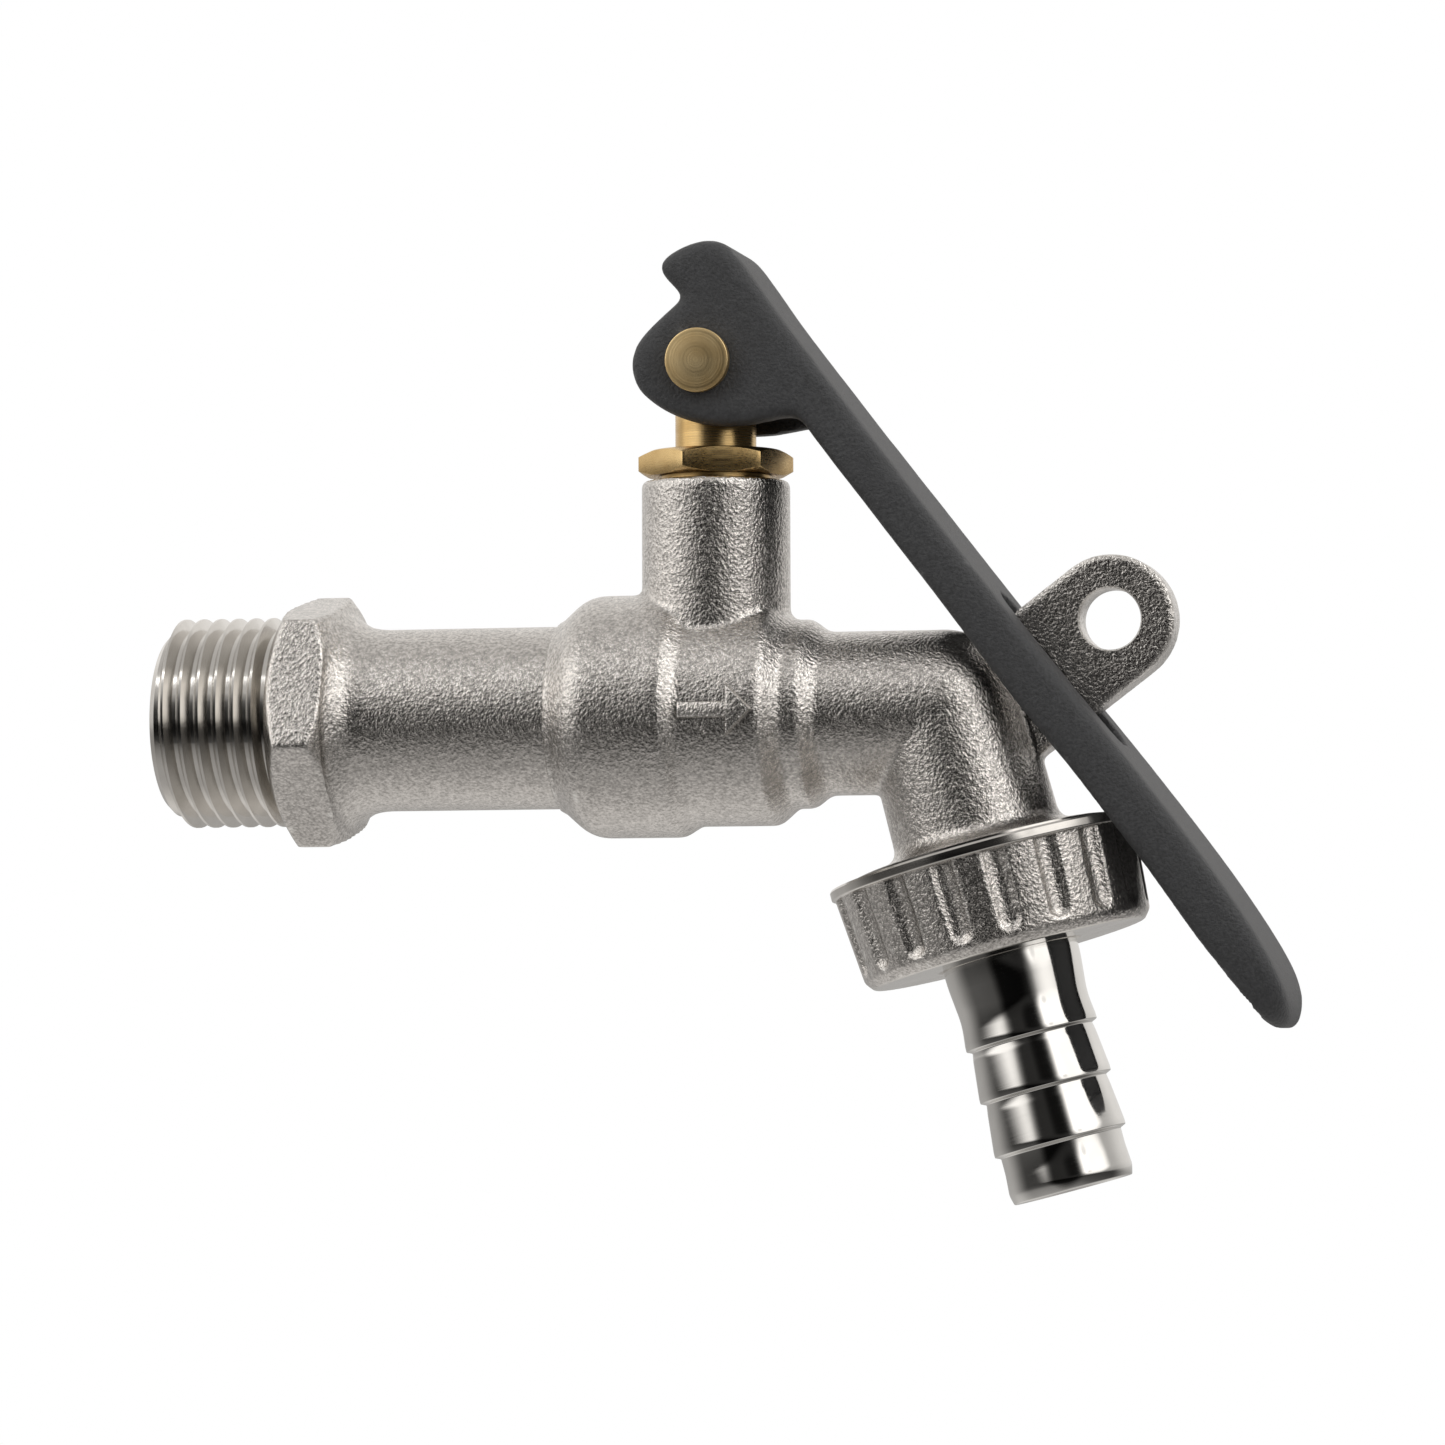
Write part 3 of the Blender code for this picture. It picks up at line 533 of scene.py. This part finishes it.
def makeValveBody():
    made = bodySkin()
    core = [(12.9, 13.8), (12.9, body["shoulder"]), (body["outletCore"], body["shoulder"] + 0.3),
            (body["outletCore"], body["outletEnd"] - 0.4), (body["outletCore"] - 0.4, body["outletEnd"])]
    ridge = helix(body["outletCore"] - 0.12, body["outletCrest"], body["threadStart"],
                  1.5, 0.15, alongOutlet)
    combine(made, "UNION", [turned(core, alongOutlet), ridge])
    combine(made, "DIFFERENCE", bodyCuts())
    finishPiece(made, "valve_body", satinNickel, ["valve_body"])
    machine(made, outletNickel, alongOutlet,
            lambda radius, height: height > 13.9 or radius < 6.1 and height > 8)
    return made


makeValveBody()
print("valve body made")


# Inlet tail: threaded end, soft hexagon, tube and the collar inside the body

tail = {
    "core": 9.316, "crest": 10.478, "threadEnd": 12.2, "hexEnd": 17.6, "hexFlats": 23.0, "hexTurn": 43.5,
    "tube": 9.05, "collar": 9.9, "collarStart": 43.9, "end": 47.0, "bore": 7.0, "voxel": 0.30, "softening": 3,
}


def hexOutline(flats, turn):
    corner = flats / math.sqrt(3)
    return [(corner * math.cos(turn + i * math.pi / 3), corner * math.sin(turn + i * math.pi / 3))
            for i in range(6)]


def makeInletTail():
    half = tail["hexFlats"] / 2
    start, end = tail["threadEnd"], tail["hexEnd"]
    drum = [(half - 1.1, start), (half + 1.8, start + 1.7, 0.4), (half + 1.8, end - 0.5, 0.3),
            (half + 0.2, end + 0.7)]
    made = toObject("inletTail", turned(softProfile(drum), alongBody))
    combine(made, "INTERSECT", [slab(hexOutline(tail["hexFlats"], math.radians(tail["hexTurn"])),
                                     start - 1, end + 2, alongBody)])
    neck = [(9.2, start + 0.5), (9.2, end), (11.5, end + 0.2, 0.3), (10.2, end + 1.5, 0.5),
            (9.35, end + 2.7, 0.6), (tail["tube"], end + 4.2, 0.8), (tail["tube"], tail["collarStart"] - 0.5)]
    combine(made, "UNION", [turned(softProfile(neck), alongBody)])
    castSkin(made, tail["voxel"], tail["softening"])
    core = [(tail["core"] - 0.6, 0), (tail["core"], 0.6), (tail["core"], start - 0.5),
            (tail["core"], start + 1)]
    collar = [(tail["tube"] - 0.1, tail["collarStart"] - 2), (tail["tube"] - 0.1, tail["collarStart"]),
              (tail["collar"], tail["collarStart"]), (tail["collar"], 44.8), (8.85, 44.8), (8.85, 46.1),
              (tail["collar"], 46.1), (tail["collar"], tail["end"])]
    ridge = helix(tail["core"] - 0.12, tail["crest"], 0.9, 6.0, 0.12,
                  alongBody @ Matrix.Rotation(math.pi / 2, 4, "Z"), 72)
    combine(made, "UNION", [turned(core, alongBody), turned(collar, alongBody), ridge])
    bore = [(7.5, -1), (7.5, 0), (7.0, 0.5), (7.0, 38.9), (5.1, 40.9), (5.1, tail["end"] + 1)]
    combine(made, "DIFFERENCE", [turned(bore, alongBody)])
    finishPiece(made, "valve_body", satinNickel, ["inlet_tail"])
    machine(made, inletNickel, alongBody, lambda radius, height: height < 12.25 or radius < 7.6)
    return made


makeInletTail()
print("inlet tail made")


# Coupling nut: smooth rim, flutes, threaded inside

nut = {
    "top": 14.2, "bottom": 24.6, "rim": 15.4, "bore": 13.6, "crest": 12.4, "flutes": 18,
    "fluteRadius": 1.6, "fluteCentre": 15.7, "fluteTurn": -3, "voxel": 0.22, "softening": 1,
}


def makeCouplingNut():
    low, high = nut["top"] + 0.9, nut["bottom"] - 2.5
    side = [(15.25, nut["top"] + 0.5), (15.05, nut["top"] + 1.1, 0.2), (14.35, nut["bottom"] - 0.9, 0.3),
            (13.6, nut["bottom"], 0.15), (7.6, nut["bottom"])]
    made = toObject("couplingNut", turned(softProfile(side), alongOutlet, 144))
    flutes = bmesh.new()
    for i in range(nut["flutes"]):
        rod = bmesh.ops.create_uvsphere(flutes, u_segments=20, v_segments=12,
                                        radius=nut["fluteRadius"])["verts"]
        reach = (high - low) / 2
        bmesh.ops.translate(flutes, verts=[v for v in rod if v.co.z > 0.01], vec=(0, 0, reach))
        bmesh.ops.translate(flutes, verts=[v for v in rod if v.co.z < -0.01], vec=(0, 0, -reach))
        lie = (Matrix.Rotation(2 * math.pi * i / nut["flutes"] + math.radians(nut["fluteTurn"]), 4, "Z")
               @ Matrix.Translation((nut["fluteCentre"], 0, (low + high) / 2))
               @ Matrix.Rotation(-0.075, 4, "Y"))
        bmesh.ops.transform(flutes, matrix=alongOutlet @ lie, verts=rod)
    bmesh.ops.recalc_face_normals(flutes, faces=flutes.faces)
    combine(made, "DIFFERENCE", [flutes])
    castSkin(made, nut["voxel"], nut["softening"])
    band = [(13.0, nut["top"]), (nut["rim"] - 0.15, nut["top"], 0), (nut["rim"], nut["top"] + 0.2, 0),
            (nut["rim"], nut["top"] + 0.95, 0.12), (15.0, nut["top"] + 1.15), (13.0, nut["top"] + 1.15)]
    combine(made, "UNION", [turned(softProfile(band), alongOutlet, 144)])
    hollow = [(nut["bore"], nut["top"] - 1), (nut["bore"], 22.8), (7.1, 22.8),
              (7.1, nut["bottom"] - 0.3), (7.5, nut["bottom"] + 0.3)]
    combine(made, "DIFFERENCE", [turned(hollow, alongOutlet, 144)])
    ridge = helix(nut["bore"] + 0.12, nut["crest"], body["threadStart"] + threadPitch / 2,
                  1.5, 0.08, alongOutlet)
    combine(made, "UNION", [ridge])
    finishPiece(made, "coupling_nut", fluteNickel, ["coupling_nut"])
    machine(made, outletNickel, alongOutlet,
            lambda radius, height: height < nut["top"] + 1.1 or radius < 13.65 and height < 24.4
            or height > 24.45)
    return made


makeCouplingNut()
print("coupling nut made")


# Hose tail: turned and polished, with saw-tooth barbs

hoseTail = {"flange": 12.6, "neck": 6.7, "bore": 4.75, "barbTips": (32.7, 37.9, 43.3), "end": 48.2}


def makeHoseTail():
    outer = [(hoseTail["flange"], 21.3, 0.1), (hoseTail["flange"], 22.5, 0.1), (hoseTail["neck"], 22.5, 0.2),
             (hoseTail["neck"], 26.0, 1.0), (6.3, 30.0, 1.0)]
    foot = 6.15
    for i, tip in enumerate(hoseTail["barbTips"]):
        outer += [(foot, tip - 4.2, 0.2)] if i else []
        outer += [(foot + 0.4, tip - 0.5, 0.15), (foot + 0.4, tip, 0.08), (foot - 0.15, tip + 0.25, 0.1)]
    outer += [(6.0, hoseTail["end"] - 3, 0.4), (6.15, hoseTail["end"] - 1, 0.3), (5.9, hoseTail["end"], 0.15)]
    inner = [(hoseTail["bore"] + 0.35, hoseTail["end"]), (hoseTail["bore"], hoseTail["end"] - 0.35),
             (hoseTail["bore"], 21.3)]
    profile = softProfile([(hoseTail["bore"], 21.3), *outer, *inner[:-1]])
    made = toObject("hoseTail", turned(profile, alongOutlet, 128, ring=True))
    return finishPiece(made, "hose_tail", polishedNickel, ["hose_tail"], 28)


makeHoseTail()
print("hose tail made")


# Gland nut, stem and pivot pin: bare brass

gland = {"flats": 13.3, "turn": 17.2, "neck": 5.4, "hole": 4.3, "base": 23.6, "top": 26.1, "foot": 21.4}
stem = {"radius": 4.0, "collar": 4.6, "rings": (12.6, 14.8), "top": 37.7, "eye": 2.2}
pivot = {"shank": 1.9, "head": 3.15, "face": 7.8, "outer": 8.9, "peened": 2.9}


def makeGlandNut():
    half = gland["flats"] / 2
    outline = [(gland["neck"], gland["foot"]), (gland["neck"], gland["base"]), (half + 0.1, gland["base"]),
               (half + 1.15, gland["base"] + 0.6), (half + 1.15, gland["top"] - 0.65),
               (half - 0.2, gland["top"])]
    made = toObject("glandNut", turned(outline, upStem, 120))
    hexagon = hexOutline(gland["flats"], math.radians(gland["turn"]))
    combine(made, "INTERSECT", [slab(hexagon, 20, 28, upStem)])
    hole = [(gland["hole"], 20), (gland["hole"], gland["top"] - 0.25),
            (gland["hole"] + 0.4, gland["top"] + 0.15)]
    combine(made, "DIFFERENCE", [turned(hole, upStem, 96)])
    edge = made.modifiers.new("edge", "BEVEL")
    edge.width = 0.09 * mm
    edge.segments = 2
    edge.limit_method = "ANGLE"
    edge.angle_limit = math.radians(20)
    settle(made)
    return finishPiece(made, "valve_body", stemBrass, ["gland_nut"])


def makeStem():
    outline = [(stem["collar"], 9.1), (stem["collar"], 10.2), (stem["radius"], 10.2)]
    for middle in stem["rings"]:
        outline += [(stem["radius"], middle - 0.75), (3.0, middle - 0.75), (3.0, middle + 0.75),
                    (stem["radius"], middle + 0.75)]
    outline += [(stem["radius"], stem["top"] - 0.8, 0.2), (stem["radius"] - 0.8, stem["top"], 0.2),
                (stem["radius"] - 1.4, stem["top"])]
    made = toObject("stemPiece", turned(softProfile(outline), upStem))
    tang = slab([(-4.2, -1.05), (4.2, -1.05), (4.2, 1.05), (-4.2, 1.05)], 7.0, 9.4, upStem)
    combine(made, "UNION", [tang])
    combine(made, "DIFFERENCE", [turned([(stem["eye"], -6), (stem["eye"], 6)], acrossPin, 48)])
    return finishPiece(made, "stem", stemBrass, ["stem"])


def makePivotPin():
    outline = [(0.4, -8.5), (pivot["peened"] - 0.3, -8.5, 0.2), (pivot["peened"], -8.2, 0.1),
               (pivot["peened"], -pivot["face"]), (pivot["shank"], -pivot["face"]),
               (pivot["shank"], pivot["face"]), (pivot["head"], pivot["face"], 0.05),
               (pivot["head"], pivot["outer"] - 0.12, 0.12), (0.5, pivot["outer"], 0)]
    made = toObject("pivotPin", turned(softProfile(outline), acrossPin))
    return finishPiece(made, "stem", pinBrass, ["pivot_pin"])


makeGlandNut()
makeStem()
makePivotPin()
print("brass pieces made")


# Lever: painted channel with two ears, a hooked head and a slot for the lug.
# Points are (along, out) from the pin, out being away from the valve

lever = {
    "fall": 53, "headHalf": 7.5, "gripHalf": 8.7, "earGap": 4.4, "channelHalf": 7.6, "tipRound": 6.0,
    "tipEnd": 86.2, "wall": 1.1, "slot": (35.4, 54.6), "slotHalf": 3.0, "pinHole": 2.2, "voxel": 0.30,
    "softening": 3, "firstVoxel": 0.42, "firstSoftening": 36,
    "ear": [(10.2, 4.4), (9.4, 3.2), (8.2, 0.8), (6.6, -1.7), (4.6, -3.8), (1.9, -5.6), (-0.8, -6.5),
            (-2.6, -6.5), (-4.3, -5.6), (-5.4, -4.2), (-5.9, -2.3), (-6.1, 0.0), (-6.2, 2.5)],
    "hook": [(-9.0, 2.1), (-10.2, 2.3), (-10.5, 3.6), (-10.3, 5.2), (-9.7, 7.0), (-8.6, 8.5),
             (-7.0, 9.1), (-4, 9.1)],
    "back": [(1, 8.9), (7, 8.9), (13, 8.9), (19, 8.95), (32, 9.1), (44, 9.35), (56, 9.75), (68, 9.85),
             (76, 9.5), (81, 8.9), (84.0, 8.0), (85.7, 6.9), (86.2, 5.8), (85.6, 4.9), (83.6, 4.6)],
    "edge": [(74, 4.6), (66, 4.85), (54, 4.8), (46, 4.5), (32, 4.55), (20, 4.4), (13, 4.3)],
    "hollowLow": [(-14, -9), (6.0, -9), (14, 2.0), (83.8, 2.0)],
    "hollowTop": [(83.8, 6.0), (81.6, 6.6), (76, 6.9), (56, 7.3), (32, 7.1), (13, 6.7), (4, 6.5),
                  (-3.6, 6.3), (-6.4, 5.4), (-14, 5.2)],
}


def curveThrough(points, pieces=4):
    # a smooth line through an open run of points
    ends = [points[0], *points, points[-1]]
    made = []
    for i in range(1, len(ends) - 2):
        a, b, c, d = (Vector(p) for p in ends[i - 1:i + 3])
        for step in range(pieces):
            t = step / pieces
            made.append(tuple(0.5 * (2 * b + (c - a) * t + (2 * a - 5 * b + 4 * c - d) * t ** 2
                                     + (3 * b - a - 3 * c + d) * t ** 3)))
    return made + [tuple(points[-1])]


def grown(along, start, length, low, high):
    share = max(0.0, min(1.0, (along - start) / length))
    return low + (high - low) * share * share * (3 - 2 * share)


def leverWays():
    # along the lever, and out from it
    fall = math.radians(lever["fall"])
    return Vector((math.cos(fall), 0, -math.sin(fall))), Vector((math.sin(fall), 0, math.cos(fall)))


def sideShape(outline, half):
    bm = bmesh.new()
    face = bm.faces.new([bm.verts.new((along, out, 0)) for along, out in outline])
    raised = bmesh.ops.extrude_face_region(bm, geom=[face])["geom"]
    top = {v for v in raised if isinstance(v, bmesh.types.BMVert)}
    for vert in bm.verts:
        vert.co.z = half(vert.co.x) * (1 if vert in top else -1)
    bmesh.ops.recalc_face_normals(bm, faces=bm.faces)
    bmesh.ops.triangulate(bm, faces=bm.faces)
    alongLever, out = leverWays()
    place = Matrix((alongLever, out, alongLever.cross(out))).transposed().to_4x4()
    bmesh.ops.transform(bm, matrix=Matrix.Translation(pin) @ place, verts=bm.verts)
    return bm


def leverHalf(along):
    past = min(lever["tipRound"], max(0.0, along - lever["tipEnd"] + lever["tipRound"]))
    return (grown(along, 4, 26, lever["headHalf"], lever["gripHalf"]) - lever["tipRound"]
            + math.sqrt(lever["tipRound"] ** 2 - past ** 2))


def hollowHalf(along):
    return min(grown(along, 7, 20, lever["earGap"], lever["channelHalf"]), leverHalf(along) - lever["wall"])


def makeLever():
    outline = curveThrough(lever["ear"]) + curveThrough(lever["hook"] + lever["back"]) + lever["edge"]
    made = toObject("leverPiece", sideShape(outline, leverHalf))
    castSkin(made, lever["firstVoxel"], lever["firstSoftening"])
    hollow = sideShape(lever["hollowLow"] + lever["hollowTop"], hollowHalf)
    first, last = lever["slot"]
    radius = lever["slotHalf"]
    alongLever, out = leverWays()
    across = Vector((0, 1, 0))
    place = Matrix((alongLever, across, alongLever.cross(across))).transposed().to_4x4()
    ends = roundArc(radius, (last - radius, 0), -90, 90, 16)
    ends += roundArc(radius, (first + radius, 0), 90, 270, 16)
    slot = slab(ends, -5, 5, Matrix.Translation(pin + out * 8) @ place)
    combine(made, "DIFFERENCE", [hollow, slot])
    castSkin(made, lever["voxel"], lever["softening"])
    combine(made, "DIFFERENCE", [turned([(lever["pinHole"], -12), (lever["pinHole"], 12)], acrossPin, 64)])
    return finishPiece(made, "lever", greyPaint, ["lever"], 40)


makeLever()
print("lever made")


# The pieces inside keep their CAD shapes and get their own finishes

inside = {
    "ball": polishedNickel, "gland_washer": stemBrass, "seat_inlet": whitePlastic,
    "seat_outlet": whitePlastic, "thrust_washer": whitePlastic, "packing_ring_lower": whitePlastic,
    "packing_ring_upper": whitePlastic, "stem_oring_lower": blackRubber, "stem_oring_upper": blackRubber,
    "tail_seal_ring": blackRubber, "hose_washer": blackRubber,
}
for node, finish in inside.items():
    data = frame["nodes"][node].data
    data.materials.clear()
    data.materials.append(finish)
print("inside pieces finished")


# Studio: pale floor, soft light all round and a long lens.
# A soft box or a shade is azimuth, elevation, inner and outer half-angle in degrees, and strength;
# the boxes fade out below the horizon, between the two heights of boxFoot

studio = {
    "azimuth": 12.5, "elevation": -3.0, "distance": 0.600, "roll": 0.22, "pixelsPerRadian": 6090,
    "aim": (0.56, 0, -0.69), "floorDrop": 0.09, "floorSize": 0.85, "floorGlow": 0.35, "frameWidth": 1445,
    "sky": ((-1.0, 0.46), (-0.75, 0.44), (-0.5, 0.26), (-0.32, 0.10), (-0.05, 0.04), (0.03, 0.40),
            (0.3, 0.56), (1.0, 0.60)),
    "boxes": ((-64, 14, 14, 40, 1.0), (57, 30, 20, 36, 1.0), (40, 16, 4, 12, 0.35)),
    "backBox": (190, -8, 40, 95, 0.40), "boxFoot": (-0.08, 0.05),
    "shades": ((2, 2, 22, 40, 0.94), (12.5, 22, 6, 20, 0.8), (45, 14, 0, 6, 0.4)),
}


def makeFloor():
    bm = bmesh.new()
    bmesh.ops.create_circle(bm, cap_ends=True, segments=128, radius=studio["floorSize"])
    bmesh.ops.translate(bm, verts=bm.verts, vec=(elbow.x * mm, 0, cadBox[0][2] - studio["floorDrop"]))
    mesh = bpy.data.meshes.new("paleFloor")
    bm.to_mesh(mesh)
    bm.free()
    floor = bpy.data.objects.new("paleFloor", mesh)
    bpy.context.scene.collection.objects.link(floor)
    floor.visible_glossy = False
    floor.visible_diffuse = False
    made, tree, shader = newFinish("floorPaper", 0.0)
    grain = addGroup(tree, surfaceGrain, Grain_Size=1.5, Patch_Size=60.0)
    paper = mixColours(tree, mapRange(tree, grain.outputs["Patches"], 0, 1),
                       (0.90, 0.90, 0.90), (0.93, 0.93, 0.93))
    tree.links.new(paper, shader.inputs["Base Color"])
    tree.links.new(paper, shader.inputs["Emission Color"])
    shader.inputs["Emission Strength"].default_value = studio["floorGlow"]
    shader.inputs["Roughness"].default_value = 0.9
    mesh.materials.append(made)


def towards(azimuth, elevation):
    azimuth, elevation = math.radians(azimuth), math.radians(elevation)
    return Vector((math.sin(azimuth) * math.cos(elevation), -math.cos(azimuth) * math.cos(elevation),
                   math.sin(elevation)))


def lobe(tree, direction, azimuth, elevation, inner, outer, level):
    # level inside the inner angle, falling smoothly to 0 at the outer one
    dot = tree.nodes.new("ShaderNodeVectorMath")
    dot.operation = "DOT_PRODUCT"
    tree.links.new(direction, dot.inputs[0])
    dot.inputs[1].default_value = towards(azimuth, elevation)
    soft = tree.nodes.new("ShaderNodeMapRange")
    soft.interpolation_type = "SMOOTHSTEP"
    soft.inputs["From Min"].default_value = math.cos(math.radians(outer))
    soft.inputs["From Max"].default_value = math.cos(math.radians(inner))
    soft.inputs["To Min"].default_value = 0
    soft.inputs["To Max"].default_value = level
    tree.links.new(dot.outputs["Value"], soft.inputs["Value"])
    return soft.outputs[0]


def makeWorld():
    world = bpy.data.worlds.new("studioWorld")
    bpy.context.scene.world = world
    world.use_nodes = True
    tree = world.node_tree
    tree.nodes.clear()
    direction = tree.nodes.new("ShaderNodeTexCoord").outputs["Generated"]
    apart = tree.nodes.new("ShaderNodeSeparateXYZ")
    tree.links.new(direction, apart.inputs[0])
    sky = tree.nodes.new("ShaderNodeValToRGB")
    ramp = sky.color_ramp
    while len(ramp.elements) < len(studio["sky"]):
        ramp.elements.new(0.5)
    for element, (height, level) in zip(ramp.elements, studio["sky"]):
        element.position = (height + 1) / 2
        element.color = (level, level, level, 1)
    tree.links.new(mapRange(tree, apart.outputs["Z"], 0, 1, -1, 1), sky.inputs[0])
    boxes = 0.0
    for box in studio["boxes"]:
        boxes = mathNode(tree, "ADD", lobe(tree, direction, *box), boxes)
    foot = mapRange(tree, apart.outputs["Z"], 0, 1, *studio["boxFoot"])
    bright = mathNode(tree, "ADD", sky.outputs[0], mathNode(tree, "MULTIPLY", boxes, foot))
    bright = mathNode(tree, "ADD", bright, lobe(tree, direction, *studio["backBox"]))
    for shade in studio["shades"]:
        left = mathNode(tree, "SUBTRACT", 1.0, lobe(tree, direction, *shade))
        bright = mathNode(tree, "MULTIPLY", bright, left)
    shine = tree.nodes.new("ShaderNodeBackground")
    tree.links.new(bright, shine.inputs["Strength"])
    shine.inputs["Color"].default_value = (1.0, 0.975, 0.945, 1)
    plain = tree.nodes.new("ShaderNodeBackground")
    plain.inputs["Color"].default_value = (1, 1, 1, 1)
    seen = tree.nodes.new("ShaderNodeLightPath")
    mix = tree.nodes.new("ShaderNodeMixShader")
    tree.links.new(seen.outputs["Is Camera Ray"], mix.inputs[0])
    tree.links.new(shine.outputs[0], mix.inputs[1])
    tree.links.new(plain.outputs[0], mix.inputs[2])
    out = tree.nodes.new("ShaderNodeOutputWorld")
    tree.links.new(mix.outputs[0], out.inputs["Surface"])


def makeLight(name, azimuth, elevation, distance, size, power):
    data = bpy.data.lights.new(name, "AREA")
    data.shape = "RECTANGLE"
    data.size, data.size_y = size
    data.energy = power
    lamp = bpy.data.objects.new(name, data)
    bpy.context.scene.collection.objects.link(lamp)
    back = towards(azimuth, elevation)
    lamp.location = stemFoot * mm + back * distance
    lamp.rotation_euler = (-back).to_track_quat("-Z", "Y").to_euler()


def makeCamera():
    back = towards(studio["azimuth"], studio["elevation"])
    data = bpy.data.cameras.new("longLens")
    data.sensor_width = 36
    data.lens = 36 * studio["pixelsPerRadian"] / studio["frameWidth"]
    data.clip_start = 0.01
    data.clip_end = 10
    camera = bpy.data.objects.new("longLens", data)
    bpy.context.scene.collection.objects.link(camera)
    camera.location = (stemFoot + Vector(studio["aim"])) * mm + back * studio["distance"]
    level = (-back).to_track_quat("-Z", "Y").to_matrix()
    turn = level @ Matrix.Rotation(math.radians(-studio["roll"]), 3, "Z")
    camera.rotation_euler = turn.to_euler()
    bpy.context.scene.camera = camera


makeFloor()
makeLight("keyLight", -40, 45, 0.7, (0.12, 0.12), 0.22)
makeLight("rimLight", 60, 40, 0.7, (0.08, 0.16), 0.30)
makeWorld()
makeCamera()
bpy.context.scene.view_settings.view_transform = "Standard"
print("studio made")
